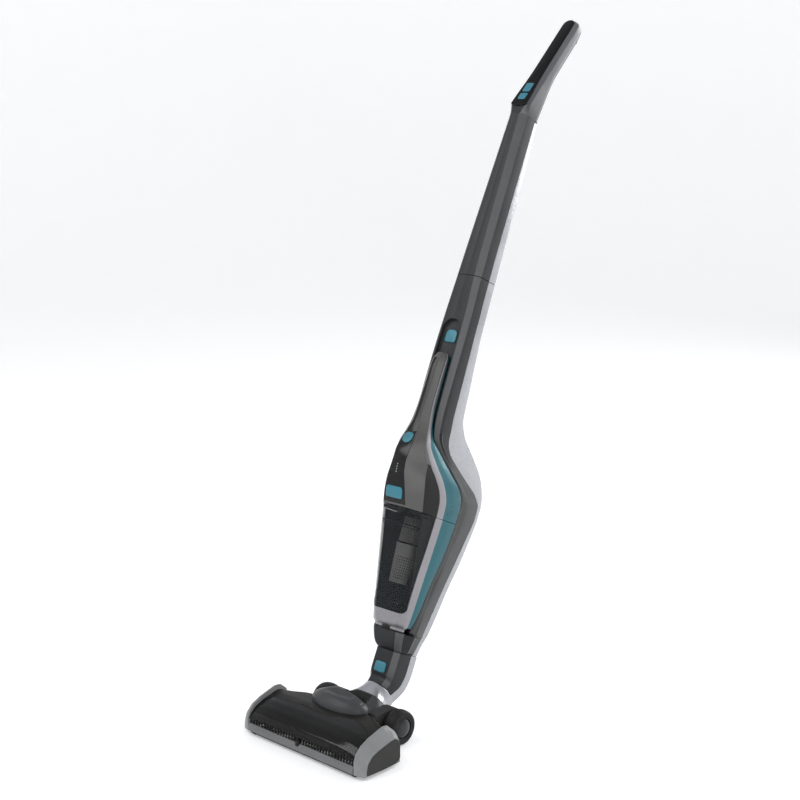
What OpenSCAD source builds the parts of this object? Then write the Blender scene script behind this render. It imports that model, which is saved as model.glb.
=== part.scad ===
/* [Pose] */
// Lean of the stick back from upright, degrees
lean = 24.5; // [20:0.5:28]
// Further lean of the lower neck, degrees
neck_bend = 36.8; // [34:0.2:39]
// Bend of the handle back from the tube, degrees
handle_bend = 20.8; // [18:0.2:23]

/* [Floor head] */
// Half of the overall width of the head
head_half = 130; // [128:0.5:134]
// Radius of the two big wheels
wheel_r = 26.5; // [26:0.1:27]
// Distance of the wheel axle behind the front rollers
axle_y = 123.3; // [122:0.1:125]
// Radius over the brush bristles
bristle_r = 20.5; // [18:0.1:20.6]
// Radius of the front rollers
roller_r = 5; // [4.5:0.1:5]

/* [Fits] */
// Radial clearance of shafts and pins that turn
run_gap = 0.05; // [0.03:0.01:0.08]
// Wall of the moulded shells
wall = 2.2; // [2:0.1:2.4]
// Gap between the hand vacuum and its cradle
dock_gap = 1.2; // [1:0.1:1.4]
// Radius of the charging socket
socket_r = 2.8; // [2.6:0.1:3]

/* [Buttons] */
// Clearance around a push button
button_gap = 0.35; // [0.3:0.05:0.5]

/* [Hidden] */
$fn = 48;
eps = 0.02;
axle_z = wheel_r;

// ---- stick frame: z runs up the stick, y runs to its back, origin on the wheel axle ----
module stick() translate([0, axle_y, axle_z]) rotate([-lean, 0, 0]) children();
// Lower neck frame: z runs from the wheel axle up the lower neck
module low_neck() translate([0, axle_y, axle_z]) rotate([-lean - neck_bend, 0, 0]) children();
// Handle frame: z runs up the handle, y runs from its front face to its back
handle_at = [972, -53];
module handle() stick() translate([0, handle_at[1], handle_at[0]]) rotate([-handle_bend, 0, 0]) children();
// A button frame on the front of the stick: z stands out of the surface, y runs up it
module on_front(s, t, tip = 0) stick() translate([0, t, s]) rotate([90 + tip, 0, 0]) children();

// ---- general lofting ----
function unit(v) = v / norm(v);
function side_normal(a, b) = let (d = unit(b - a)) [-d[1], d[0]];
function inset(p, w) = let (n = len(p)) [
  for (i = [0:n - 1])
    let (a = side_normal(p[(i + n - 1) % n], p[i]), b = side_normal(p[i], p[(i + 1) % n]))
      p[i] + w * (a + b) / (1 + a * b)
];
// Closed outline from its right half, listed front to back
function both(h) = concat(h, [for (i = [len(h) - 1:-1:0]) [-h[i][0], h[i][1]]]);
// Ring of space points from an outline, at height s, with the plane tilted about t0
function ring(h, s, t0 = 0, tilt = 0) = [
  for (q = h) [q[0], t0 + q[1] * cos(tilt), s - q[1] * sin(tilt)]
];
// Solid between rings that all have the same number of points, each one a mirrored outline
module loft(rings) {
  n = len(rings[0]);
  top = (len(rings) - 1) * n;
  sides = [
    for (k = [0:len(rings) - 2], i = [0:n - 1], half = [0, 1])
      let (b = k * n + i, c = k * n + (i + 1) % n)
        half == 0 ? [b, b + n, c + n] : [b, c + n, c]
  ];
  caps = [
    for (i = [0:n / 2 - 2], half = [0, 1])
      half == 0 ? [i, i + 1, n - 2 - i] : [i, n - 2 - i, n - 1 - i]
  ];
  lids = [for (f = caps) [top + f[2], top + f[1], top + f[0]]];
  polyhedron(points = [for (r = rings, q = r) q], faces = concat(sides, caps, lids), convexity = 6);
}
// Booleans between lofts are worked out as one mesh
module moulded() resize([0, 0, 0]) children();
// Row of a table that is between two heights, by straight interpolation
function between(rows, s) = let (
  k = max([for (i = [0:len(rows) - 2]) rows[i][0] <= s ? i : 0]),
  f = (s - rows[k][0]) / (rows[k + 1][0] - rows[k][0])
) rows[k] * (1 - f) + rows[k + 1] * f;
// Rows from one height to another, with the ends worked out between the listed ones
function span(rows, s0, s1) = concat(
  [between(rows, s0)],
  [for (r = rows) if (r[0] > s0 + 0.5 && r[0] < s1 - 0.5) r],
  [between(rows, s1)]
);

// ---- chassis: height, then front corner, chamfer corner, crease, seam and back as x, y pairs ----
cup_rows = [
  [95, 16, 13, 23, 20, 23.5, 34, 21, 50, 69],
  [100, 19, 8, 26.5, 16, 27, 34, 22, 52, 70],
  [112, 21, 2, 29, 10.5, 29, 34, 22.5, 55, 72],
  [137, 23, -7, 33, 3, 32, 35, 23.5, 60, 80]
];
cradle_rows = [
  [137, 28, 21, 34.5, 24.5, 32, 36, 23.5, 60, 80],
  [170, 30, 26, 35, 29.5, 32, 39, 24, 66, 87],
  [215, 31, 31, 35.5, 34.5, 32.5, 47, 24.5, 75, 95],
  [262, 33, 41, 37.5, 44.5, 33.5, 56, 25, 86, 106],
  [305, 35, 44, 39, 47.5, 34, 64, 25, 96, 114],
  [335, 35.5, 44, 39.5, 47.5, 34, 67, 25, 102, 118],
  [352, 35, 42, 39, 45.5, 33.5, 66, 25, 101, 118],
  [368, 32, 32.5, 36.5, 36, 32, 49, 25.5, 86, 114],
  [384, 28, 11.5, 33.5, 15, 30.5, 27, 26, 54, 105],
  [400, 25.5, -10, 30.5, -6, 29, 4, 26.5, 22, 92],
  [416, 23, -30, 28, -26, 28, -18, 27, -5, 72],
  [432, 21.5, -45.5, 27.5, -40.5, 28, -33, 27, -15, 50],
  [450, 21, -50, 27.5, -44.5, 28, -37, 27.5, -18, 26],
  [475, 21, -52.5, 27.5, -46.5, 28, -40, 27.5, -21, 12],
  [520, 21, -54, 28, -47.5, 28, -40, 27.5, -23, 7],
  [560, 21, -54.5, 28, -47.5, 28, -40, 27.5, -25, 2],
  [616, 20, -54.5, 27, -47.5, 27, -40, 26.8, -27, -2.5],
  [688, 16.5, -55.5, 24.5, -47.5, 24.5, -40, 24.5, -27.5, -5],
  [958, 8.6, -52.5, 18, -43, 18, -38, 18, -22.5, -12]
];
split_s = 688;
handle_s = 958;
seam_gap = 0.4;
// Front part of a section, ahead of the seam with the spine
function front_half(r) = [[r[1], r[2]], [r[3], r[4]], [r[5], r[6]], [r[7], r[8]]];
// Back part of a section: the spine
function back_half(r) = [
  [r[7], r[8] + seam_gap], [r[7] - 1.2, r[9] - 7], [r[7] * 0.6, r[9]]
];
module chassis_front(rows) loft([for (r = rows) ring(both(front_half(r)), r[0])]);
module chassis_back(rows) loft([for (r = rows) ring(both(back_half(r)), r[0])]);
// Room inside the front part: walls kept at the front and sides, open at the seam
function front_room(r, floor_t) = let (t0 = max(r[2] + wall, floor_t)) [
  [r[1] - 1.5, t0], [r[3] - wall, max(r[4] + 1, t0 + 1)], [r[5] - wall, max(r[6], t0 + 2)],
  [r[7] - wall, r[8] + 1]
];
function back_room(r) = [
  [r[7] - wall, r[8] - 1], [r[7] - 1.2 - wall, r[9] - 7.5], [r[7] * 0.6 - 1, r[9] - wall]
];

// ---- hand vacuum: height, front edge, chamfer corner, trim, band, rear edge, back ----
vac_rows = [
  [138, 18, -3, 29, 2, 4, 6, 12, 22, 14],
  [142, 21, -7, 32.5, 0, 4, 7, 17, 23, 19],
  [152, 23, -10.5, 34, -2, -3, 7, 20.5, 25.5, 27],
  [168, 24, -17, 35, -7, -7, 7, 24, 27, 33],
  [215, 26, -31, 36.5, -19, -9, 7.5, 30, 28, 40],
  [262, 25, -47, 38, -30, -8, 8, 39.5, 30, 49],
  [315, 23, -65, 40, -44, -9, 7, 42.8, 32, 52],
  [337, 21, -73.5, 40.5, -51, -12, 5, 42.8, 32.5, 52],
  [352, 18, -78, 40, -55, -18, -1, 40.5, 32, 49],
  [368, 15, -82, 37.5, -57, -30, -11, 31, 29, 41],
  [384, 13.5, -83, 34, -56, -45, -26, 10, 25, 21],
  [400, 14, -82, 30, -63, -56, -41, -11.5, 22.5, -3],
  [416, 13, -77.5, 26, -66, -63, -52, -31.5, 19.5, -22],
  [432, 10.5, -73, 21.5, -64, -62, -54, -47, 17, -37],
  [450, 6.5, -71, 17.5, -62.5, -61, -54, -51.5, 15.5, -43],
  [480, 5.5, -70, 14, -63, -61, -53, -49, 12.5, -45],
  [535, 5.5, -69, 13, -62, -60, -53.5, -50, 11.5, -47],
  [552, 5.5, -66, 12, -60, -58, -54, -51, 10.5, -48],
  [560, 4, -61, 8.5, -58, -57, -54.5, -52, 7, -50]
];
bowl_s = 315;
nose_s = 168;
trim_out = 0.6;
function vac_front(r) = [[r[1], r[2]], [r[3], r[4]], [r[3], max(r[5], r[4] + 0.4) - 0.2]];
function vac_trim(r) = [
  [r[3] + trim_out * 0.2, max(r[5], r[4] + 0.4)], [r[3] + trim_out, max(r[5], r[4] + 0.4) + 1],
  [r[3] + trim_out, r[6] - 1], [r[3], r[6] - 0.2]
];
function vac_back(r) = [[r[3], r[6]], [r[3], r[7]], [r[8], r[7] + 0.3], [r[8] - 5, r[9]]];
function vac_whole(r) = [
  [r[1], r[2]], [r[3], r[4]], [r[3], r[7]], [r[8], r[7] + 0.3], [r[8] - 5, r[9]]
];
module vac_loft(rows, part) loft([
  for (r = rows)
    ring(both(part == 0 ? vac_front(r) : part == 1 ? vac_trim(r) : part == 2 ? vac_back(r) : vac_whole(r)), r[0])
]);
// Room inside the hand vacuum
module vac_room(s0, s1, w = wall) loft([
  for (r = span(vac_rows, s0, s1)) ring(inset(both(vac_whole(r)), w), r[0])
]);
module vac_skin(part, s0, s1) stick() moulded() difference() {
  vac_loft(span(vac_rows, s0, s1), part);
  vac_room(max(s0 - 1, nose_s - 20), min(s1 + 1, 556));
}

// ================= hand vacuum =================
panel_t = 1.4;
switch_mid = 422;
bowl_button_s = 334;
led_s = [363.5, 367.5, 371.5, 375.5];
module front_panel() color([0.06, 0.06, 0.07]) stick() moulded() difference() {
  rows = span(vac_rows, bowl_s + 3, 550);
  loft([
    for (r = rows)
      ring(both([[r[1] - 0.4, r[2] - panel_t], [r[1] - 0.3, r[2] - 0.1]]), r[0])
  ]);
  translate([0, -78, switch_mid]) cube([16.8, 30, 25.6], center = true);
  translate([0, -72, bowl_button_s]) cube([32.7, 30, 19.7], center = true);
  for (s = led_s) translate([0, -82, s]) rotate([90, 0, 0]) cylinder(r = 1.1, h = 12, center = true, $fn = 16);
}
module vac_shell() color([0.3, 0.3, 0.3]) stick() moulded() difference() {
  vac_loft(span(vac_rows, bowl_s + 0.3, 560), 0);
  vac_room(bowl_s - 1, 556);
  translate([0, -76, switch_mid]) cube([17.4, 24, 26.4], center = true);
  translate([0, -72, bowl_button_s]) cube([33.2, 30, 20.2], center = true);
}
module upper_trim() color([0.62, 0.6, 0.63]) vac_skin(1, bowl_s + 0.3, 560);
module upper_band() color([0.1, 0.36, 0.4]) vac_skin(2, bowl_s + 0.3, 558);
inlet_r = 13;
inlet_t = 6;
duct_wall = 1.8;
flap_s = 172;
module inlet_cut(r, top) translate([0, inlet_t, 130]) cylinder(r = r, h = top - 130);
module lower_band() color([0.1, 0.36, 0.4]) stick() moulded() difference() {
  vac_loft(span(vac_rows, 142, bowl_s - 0.3), 2);
  vac_room(148, bowl_s + 1);
  inlet_cut(inlet_r + duct_wall + 0.1, flap_s);
}
function vac_nose(r) = let (t1 = max(r[5], r[4] + 0.4)) [[r[1], r[2]], [r[3], r[4]], [r[3], t1 + 0.5]];
module nose_frame() color([0.62, 0.6, 0.63]) stick() moulded() difference() {
  union() {
    difference() {
      union() {
        vac_loft(span(vac_rows, nose_s, bowl_s - 0.3), 1);
        loft([for (r = span(vac_rows, 138, nose_s - 0.2)) ring(both(vac_nose(r)), r[0])]);
        vac_loft(span(vac_rows, 138, nose_s), 1);
      }
      vac_room(144, bowl_s + 1);
    }
    translate([0, inlet_t, 140]) cylinder(r = inlet_r + duct_wall, h = flap_s - 140.6);
  }
  inlet_cut(inlet_r, flap_s + 1);
}
module dust_bowl() color([0.12, 0.14, 0.15, 0.6]) stick() moulded() difference() {
  vac_loft(span(vac_rows, nose_s, bowl_s - 0.3), 0);
  vac_room(nose_s + 2, bowl_s + 1);
  inlet_cut(inlet_r + duct_wall + 0.1, flap_s);
}
core_t = -6;
module core(s) stick() translate([0, core_t, s]) children();
module mesh_screen() color([0.45, 0.45, 0.47]) core(205) difference() {
  cylinder(r1 = 15, r2 = 19, h = 60);
  translate([0, 0, 1.2]) cylinder(r1 = 13.8, r2 = 17.8, h = 60);
}
module filter() color([0.9, 0.9, 0.88]) core(266) difference() {
  union() {
    cylinder(r = 21, h = 4);
    cylinder(r = 17.5, h = 44);
    translate([0, 0, 40]) cylinder(r = 26, h = 4);
  }
  translate([0, 0, 3]) cylinder(r = 13, h = 45);
}
module vac_motor() color([0.5, 0.5, 0.52]) core(330) difference() {
  union() {
    cylinder(r = 19, h = 28);
    translate([0, 0, 28]) cylinder(r = 9, h = 3);
    cylinder(r = 24, h = 2);
  }
  translate([0, 0, -1]) cylinder(r = 2 + run_gap, h = 20);
}
fan_blades = 9;
module fan() color([0.15, 0.15, 0.16]) core(316.5) {
  difference() {
    union() {
      cylinder(r = 23, h = 1.6);
      cylinder(r = 6, h = 10);
      for (k = [0:fan_blades - 1])
        rotate([0, 0, k * 360 / fan_blades]) translate([4, -0.7, 1]) cube([18, 1.4, 8]);
    }
    translate([0, 0, -1]) cylinder(r = 1.5, h = 6);
  }
  translate([0, 0, 9]) cylinder(r = 2, h = 22);
}
cell_r = 9.1;
cell_l = 65;
module battery_cells() color([0.1, 0.42, 0.6]) stick()
  for (c = [[-9.6, -55, 366], [9.6, -55, 366], [0, -57, 434.5]])
    translate([c[0], c[1], c[2]]) cylinder(r = cell_r, h = cell_l);
module circuit_board() color([0.05, 0.35, 0.15]) stick() translate([-8, -71.2, 366]) cube([16, 1.6, 40]);
module inlet_flap() color([0.1, 0.1, 0.1]) stick() translate([0, 20, flap_s]) {
  translate([-14, -28, 0]) cube([28, 28, 1.4]);
  translate([0, 1.4, 1]) rotate([0, 90, 0]) cylinder(r = 1.5, h = 30, center = true);
}
switch_tilt = -20;
module power_switch() color([0.14, 0.5, 0.58]) on_front(418, -77.4, switch_tilt) {
  translate([-8, -8, -3]) cube([16, 16, 5.2]);
  for (k = [-1:1]) translate([-6, 3.2 * k - 0.6, 2]) cube([12, 1.2, 0.8]);
}
module bowl_release() color([0.14, 0.5, 0.58]) on_front(334, -72.6, 20)
  translate([-16, -9, -3]) cube([32, 18, 6]);
module led_lenses() color("white") stick()
  for (s = led_s) translate([0, between(vac_rows, s)[2] - 0.9, s])
    rotate([90, 0, 0]) cylinder(r = 0.9, h = 1.4, center = true, $fn = 16);

// ================= stick =================
// The neck's spigot plugs up into the cup at the foot of the stick
spigot_r = 16.5;
release_w = 26;
release_h = 20;
slot_half = 17.5;
slot_top = 600;
slot_floor = -48;
// Recess that the hand vacuum sits in
function recess_half(r) = [
  [r[8] + 1.5, -120], [r[8] + 1.5, r[7] + 3], [r[8] - 4, r[9] + dock_gap]
];
module recess() {
  rows = [for (r = vac_rows) if (r[0] > 150) r];
  loft(concat(
    [ring(both([[30, -120], [30, 19], [18, 22]]), 137.2)],
    [ring(both([[30, -120], [29, 23], [20, 28]]), 150)],
    [for (r = rows) ring(both(recess_half(r)), r[0] + dock_gap)]
  ));
  translate([0, slot_floor, slot_top]) rotate([90, 0, 0]) cylinder(r = slot_half, h = 60);
  translate([-slot_half, slot_floor - 60, 440]) cube([2 * slot_half, 60, slot_top - 440]);
}
// The front edge of the room behind the recess
function room_floor(s) = s < 150 ? 30 : s < 560 ? between(vac_rows, s)[9] + dock_gap + 3 : slot_floor + 3;
module lower_chassis() {
  color([0.2, 0.2, 0.21]) stick() moulded() difference() {
    union() {
      chassis_front(span(cradle_rows, 137, split_s));
      chassis_front(cup_rows);
    }
    recess();
    loft([for (r = span(cradle_rows, 139, split_s + 1)) ring(both(front_room(r, room_floor(r[0]))), r[0])]);
    loft([
      for (r = span(cup_rows, 99, 133.5))
        ring(both([[r[1] - 2, r[2] + wall], [r[3] - wall, r[4] + 1], [r[5] - wall, r[6]], [r[7] - wall, r[8] + 1]]), r[0])
    ]);
    translate([0, 40, 90]) cylinder(r = spigot_r + 0.5, h = 19);
    inlet_cut(inlet_r, 142);
    translate([0, slot_floor, 590])
      cube([release_w + 2 * button_gap, 20, release_h + 2 * button_gap], center = true);
  }
}
module dock_seal() color([0.08, 0.08, 0.08]) stick() translate([0, inlet_t, 133.8]) difference() {
  cylinder(r = inlet_r - 0.05, h = 4);
  translate([0, 0, -1]) cylinder(r = inlet_r - 2.5, h = 6);
}
module lower_spine() color([0.68, 0.68, 0.71]) stick() moulded() difference() {
  chassis_back(concat(span(cup_rows, 95, 136), span(cradle_rows, 137, split_s)));
  loft([
    for (r = concat(span(cup_rows, 99, 135), span(cradle_rows, 138, split_s + 1))) ring(both(back_room(r)), r[0])
  ]);
  translate([0, 0, 150]) rotate([-90, 0, 0]) cylinder(r = 6, h = 120);
  translate([0, 40, 90]) cylinder(r = spigot_r + 0.5, h = 19);
}
module charge_socket() color([0.05, 0.05, 0.05]) stick() translate([0, 70, 150]) rotate([-90, 0, 0])
  difference() {
    cylinder(r = 5.9, h = 13);
    translate([0, 0, 13 - 9]) cylinder(r = socket_r, h = 10);
  }
module upper_tube() color([0.2, 0.2, 0.21]) stick() moulded() difference() {
  chassis_front(span(cradle_rows, split_s + 0.3, handle_s - 0.3));
  loft([for (r = span(cradle_rows, split_s, handle_s)) ring(both(front_room(r, -99)), r[0])]);
}
module upper_spine() color([0.68, 0.68, 0.71]) stick() moulded() difference() {
  chassis_back(span(cradle_rows, split_s + 0.3, handle_s - 0.3));
  loft([for (r = span(cradle_rows, split_s, handle_s)) ring(both(back_room(r)), r[0])]);
}
module stick_release() color([0.14, 0.5, 0.58]) on_front(590, slot_floor, 0)
  translate([-13, -10, -5]) cube([26, 20, 7.5]);

// Handle: height, plate half-width, side half-width, depth
grip_rows = [
  [4, 15.5, 18, 38],
  [30, 14, 17.5, 33],
  [55, 12, 17, 29],
  [85, 11, 16.5, 27],
  [165, 10.5, 16, 26.5],
  [181, 9.5, 14, 25],
  [187, 7, 10, 21]
];
plate_t = 1.6;
function grip_half(r) = [
  [r[1], plate_t], [r[2], 6], [r[2], r[3] - 11], [r[2] * 0.72, r[3] - 2.5], [r[2] * 0.35, r[3]]
];
function grip_base(r) = [
  [r[1], r[2]], [r[3], r[4]], [r[3], r[9] - 11], [r[3] * 0.72, r[9] - 2.5], [r[3] * 0.35, r[9]]
];
function to_handle(p) = [
  for (q = p) [q[0], handle_at[1] + q[1] * cos(handle_bend) + q[2] * sin(handle_bend),
    handle_at[0] - q[1] * sin(handle_bend) + q[2] * cos(handle_bend)]
];
function grip_ring(r, w = 0) = to_handle([for (q = inset(both(grip_half(r)), w)) [q[0], q[1], r[0]]]);
base_row = between(cradle_rows, handle_s);
module handle_shell() color([0.5, 0.5, 0.52]) stick() moulded() difference() {
  loft(concat(
    [ring(both(grip_base(base_row)), handle_s)],
    [for (r = grip_rows) grip_ring(r)]
  ));
  loft(concat(
    [ring(inset(both(grip_base(base_row)), wall), handle_s - 1)],
    [for (r = grip_rows) if (r[0] < 180) grip_ring(r, wall)]
  ));
  for (b = [[37, 16.7], [17, 11.7]])
    translate([0, handle_at[1], handle_at[0]]) rotate([-handle_bend, 0, 0])
      translate([0, 0, b[0]]) cube([17.4, 20, b[1] + 0.7], center = true);
}
module grip_plate() color([0.04, 0.04, 0.04]) handle() moulded() difference() {
  loft([for (r = grip_rows) if (r[0] < 182) ring(both([[r[1] - 0.3, 0], [r[1] - 0.1, plate_t - 0.1]]), r[0])]);
  for (b = [[37, 16], [17, 11]]) translate([0, 0, b[0]]) cube([16.7, 20, b[1] + 0.7], center = true);
}
module thumb_button(at, long) color([0.14, 0.5, 0.58]) handle()
  translate([-8, -0.9, at - long / 2]) cube([16, 5, long]);
module power_button() thumb_button(37, 16);
module boost_button() thumb_button(17, 11);
bumper_at = [29.5, 174];
bumper_r = 4;
module wall_bumper() color([0.05, 0.05, 0.05]) handle() difference() {
  translate([0, bumper_at[0], bumper_at[1]]) rotate([0, 90, 0]) cylinder(r = bumper_r, h = 14, center = true);
  translate([-10, 0, bumper_at[1] - 12]) cube([20, 26.6, 24]);
}

// ================= neck =================
neck_rows = [
  [35.4, 26.5, 36.8, 21, 23],
  [43.4, 32.5, 34, 22, 24.5],
  [57, 38, 14, 23.5, 28],
  [74, 39.8, 0, 24.5, 29],
  [94.6, 40, 0, 24.5, 29]
];
function neck_front(r) = [
  [r[3] - 7.5, -r[4]], [r[3], 8 - r[4]], [r[3], r[4] - 23]
];
function neck_back(r) = [[r[3], r[4] - 22.6], [r[3] - 1.5, r[4] - 7], [r[3] * 0.6, r[4]]];
module neck_loft(part) loft([
  for (r = neck_rows) ring(both(part == 0 ? neck_front(r) : neck_back(r)), r[0], r[1], r[2])
]);
function neck_whole(r) = [
  [r[3] - 7.5, -r[4]], [r[3], 8 - r[4]], [r[3] - 1.5, r[4] - 7], [r[3] * 0.6, r[4]]
];
module neck_room() loft([
  for (r = neck_rows) if (r[0] > 40 && r[0] < 90) ring(inset(both(neck_whole(r)), 3), r[0], r[1], r[2])
]);
stub_r = 18;
collar_top = 43;
module neck_shell() {
  color([0.17, 0.17, 0.18]) {
    stick() moulded() difference() {
      union() {
        neck_loft(0);
        translate([0, 40, 90]) cylinder(r = spigot_r, h = 18);
      }
      neck_room();
      translate([0, 40, 80]) cylinder(r = 14, h = 30);
      translate([0, 11, 74])
        cube([release_w + 2 * button_gap, 14, release_h + 2 * button_gap], center = true);
    }
    low_neck() difference() {
      union() {
        translate([0, 0, collar_top - 13.7]) cylinder(r = stub_r, h = 14.9);
        translate([-10, -16, collar_top]) cube([20, 13, 4]);
      }
      translate([0, 0, 20]) cylinder(r = stub_r - 4, h = 22);
    }
  }
}
module neck_spine() color([0.62, 0.62, 0.65]) stick() moulded() difference() {
  neck_loft(1);
  neck_room();
  translate([0, 40, 80]) cylinder(r = spigot_r + 0.1, h = 30);
}
module head_release() color([0.14, 0.5, 0.58]) on_front(74, 10.8)
  translate([-13, -10, -4]) cube([26, 20, 5.5]);

// ================= yoke and pivot =================
hub_r = 25;
hub_half = 41.5;
pivot_r = 10;
module along_x(half) rotate([0, 90, 0]) translate([0, 0, -half]) children();
module yoke() color([0.6, 0.61, 0.64]) low_neck() difference() {
  union() {
    along_x(hub_half) cylinder(r = hub_r, h = 2 * hub_half);
    cylinder(r = 26, h = collar_top);
  }
  difference() {
    union() {
      along_x(hub_half - 4) cylinder(r = hub_r - 3, h = 2 * hub_half - 8);
      cylinder(r = 23, h = collar_top - 16);
    }
    along_x(hub_half) cylinder(r = pivot_r + 3, h = 2 * hub_half);
  }
  along_x(hub_half + 1) cylinder(r = pivot_r + run_gap, h = 2 * hub_half + 2);
  translate([0, 0, collar_top - 14]) cylinder(r = stub_r + run_gap, h = 20);
}
module pivot_tube() color([0.7, 0.7, 0.72]) translate([0, axle_y, axle_z]) along_x(58) difference() {
  cylinder(r = pivot_r, h = 116);
  translate([0, 0, -1]) cylinder(r = pivot_r - 1.5, h = 118);
}
module joint_hose() color([0.05, 0.05, 0.05]) translate([0, 97, 57]) rotate([-60, 0, 0])
  rotate_extrude() union() {
    translate([5.5, 0]) square([2, 9]);
    for (k = [0:3]) translate([7.5, 1.1 + 2.2 * k]) circle(r = 0.9, $fn = 16);
  }

// ================= floor head =================
brush_at = [20, 22];
core_r = 12;
brush_half = 99;
cover_half = 112;
arm_in = 42.5;
arm_out = 62;
sole_z = 2;
module mirrored_x() for (side = [0, 1]) mirror([side, 0, 0]) children();
module sole_plate() color([0.12, 0.12, 0.12]) difference() {
  union() {
    translate([-cover_half + 0.3, -3.5, sole_z]) cube([2 * cover_half - 0.6, 75, 2.5]);
    translate([-arm_out, 71, sole_z]) cube([2 * arm_out, 22, 2.5]);
    translate([-101, -3.5, 4]) cube([202, 2, 13]);
    translate([-cover_half + 3, 42.5, 4]) cube([2 * cover_half - 6, 2, 36]);
    mirrored_x() translate([98.5, -3.5, 3]) cube([2.5, 7, 6.5]);
  }
  translate([-98.4, 2, -1]) cube([196.8, 37, 10]);
  mirrored_x() translate([101, -6, -1]) cube([10, 13, 10]);
  mirrored_x() translate([98, 0, roller_r]) rotate([0, 90, 0]) cylinder(r = 1.5, h = 4);
  translate([98.5, 41, 8]) cube([10, 5, 28]);
}
module front_strip() color([0.45, 0.46, 0.47]) difference() {
  translate([cover_half - 0.3, 0, 0]) rotate([90, 0, -90]) linear_extrude(2 * cover_half - 0.6)
    polygon([[10, 8], [10, 15], [7.5, 19], [4, 19], [4, 6.5], [8, 6.5]]);
  mirrored_x() translate([101, -11, 0]) cube([20, 12, 11]);
}
// Shell that runs across the head, from outlines of y, z pairs at each x
function yz_ring(p, x) = [for (q = p) [x, q[0], q[1]]];
function window_path() = [[-9, 30], [-4, 39.5], [8, 47.5], [23, 52.5], [38, 54.5]];
function cover_path(back, drop) = [
  [38.4, 54.5 - drop], [47, 56 - drop], [back - 14, 56 - drop], [back - 4, 46 - drop], [back, 34], [back, 5]
];
// Inner side of a path, by moving each point along its mitre
function path_in(p, w) = [
  for (i = [0:len(p) - 1])
    let (
      a = i == 0 ? side_normal(p[0], p[1]) : side_normal(p[i - 1], p[i]),
      b = i == len(p) - 1 ? a : side_normal(p[i], p[i + 1])
    ) p[i] - w * (a + b) / (1 + a * b)
];
module sheet_loft(rings, n) {
  m = 2 * n;
  last = (len(rings) - 1) * m;
  sides = [
    for (k = [0:len(rings) - 2], i = [0:m - 1], half = [0, 1])
      let (b = k * m + i, c = k * m + (i + 1) % m)
        half == 0 ? [b, c + m, b + m] : [b, c, c + m]
  ];
  caps = [
    for (i = [0:n - 2], half = [0, 1])
      half == 0 ? [i, m - 2 - i, i + 1] : [i, m - 1 - i, m - 2 - i]
  ];
  lids = [for (f = caps) [last + f[2], last + f[1], last + f[0]]];
  polyhedron(points = [for (r = rings, q = r) q], faces = concat(sides, caps, lids), convexity = 6);
}
function reversed(p) = [for (i = [len(p) - 1:-1:0]) p[i]];
function sheet_ring(p, x) = yz_ring(concat(p, reversed(path_in(p, 2))), x);
module brush_window() color([0.05, 0.05, 0.05, 0.8])
  sheet_loft([for (x = [-111.7, 111.7]) sheet_ring(window_path(), x)], 5);
cover_cuts = [[-111.7, 72, 2], [-66, 91, 0], [66, 91, 0], [111.7, 72, 2]];
module head_cover() color([0.1, 0.1, 0.09])
  sheet_loft([for (c = cover_cuts) sheet_ring(cover_path(c[1], c[2]), c[0])], 6);
cap_in = [[-4, 7], [-4, 25], [0, 34], [10, 45], [22, 52.5], [37, 57], [49, 62], [59, 61], [71, 51], [76, 36], [76, 7]];
cap_out = [[3, 5], [3, 14], [6, 25], [17, 35], [27, 39], [38, 42.5], [50, 46], [60, 47], [68, 43], [71, 34], [71, 5]];
module end_cap() moulded() difference() {
  hull() {
    translate([cover_half, 0, 0]) rotate([90, 0, 90]) linear_extrude(1) polygon(cap_in);
    translate([head_half - 2, 0, 0]) rotate([90, 0, 90]) linear_extrude(1) polygon(cap_out);
  }
  hull() {
    translate([cover_half - 1, 0, 0]) rotate([90, 0, 90]) linear_extrude(1) offset(-3) polygon(cap_in);
    translate([head_half - 5, 0, 0]) rotate([90, 0, 90]) linear_extrude(1) offset(-3) polygon(cap_out);
  }
}
module end_cap_right() color([0.45, 0.46, 0.46]) end_cap();
module end_cap_left() color([0.45, 0.46, 0.46]) mirror([1, 0, 0]) end_cap();
module side_insert() translate([head_half - 0.95, 0, 0]) rotate([90, 0, 90]) linear_extrude(0.95)
  polygon([[5.5, 9], [6, 14], [9, 24.5], [18, 32.5], [38, 40], [51, 43.5], [60, 44], [66, 40.5], [68.5, 33], [68.5, 14], [60, 8]]);
module side_insert_right() color([0.2, 0.2, 0.19]) side_insert();
module side_insert_left() color([0.2, 0.2, 0.19]) mirror([1, 0, 0]) side_insert();
dome_at = [0, 73, 56.1];
module swivel_dome() color([0.28, 0.28, 0.28]) moulded() difference() {
  translate(dome_at) scale([50, 25, 20]) sphere(r = 1, $fn = 40);
  translate(dome_at) scale([47.5, 22.5, 17.5]) sphere(r = 1, $fn = 32);
  translate(dome_at - [60, 40, 40]) cube([120, 80, 40]);
  translate([0, 96, 60]) rotate([-60, 0, 0]) cylinder(r = 10.5, h = 40, center = true, $fn = 24);
}
module pivot_carrier() color([0.16, 0.16, 0.16]) difference() {
  mirrored_x() translate([arm_in, 0, 0]) {
    translate([0, axle_y, axle_z]) rotate([0, 90, 0]) cylinder(r = hub_r, h = arm_out - arm_in);
    translate([0, 91.3, 4.6]) cube([arm_out - arm_in, axle_y - 91.3, 40]);
  }
  translate([0, axle_y, axle_z]) along_x(59) cylinder(r = pivot_r, h = 118);
  translate([0, axle_y, axle_z]) along_x(70) cylinder(r = 4, h = 140);
  translate([-70, 85, -1]) cube([140, 70, sole_z + 3]);
}
tyre_in = 66;
tyre_out = 89;
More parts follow.
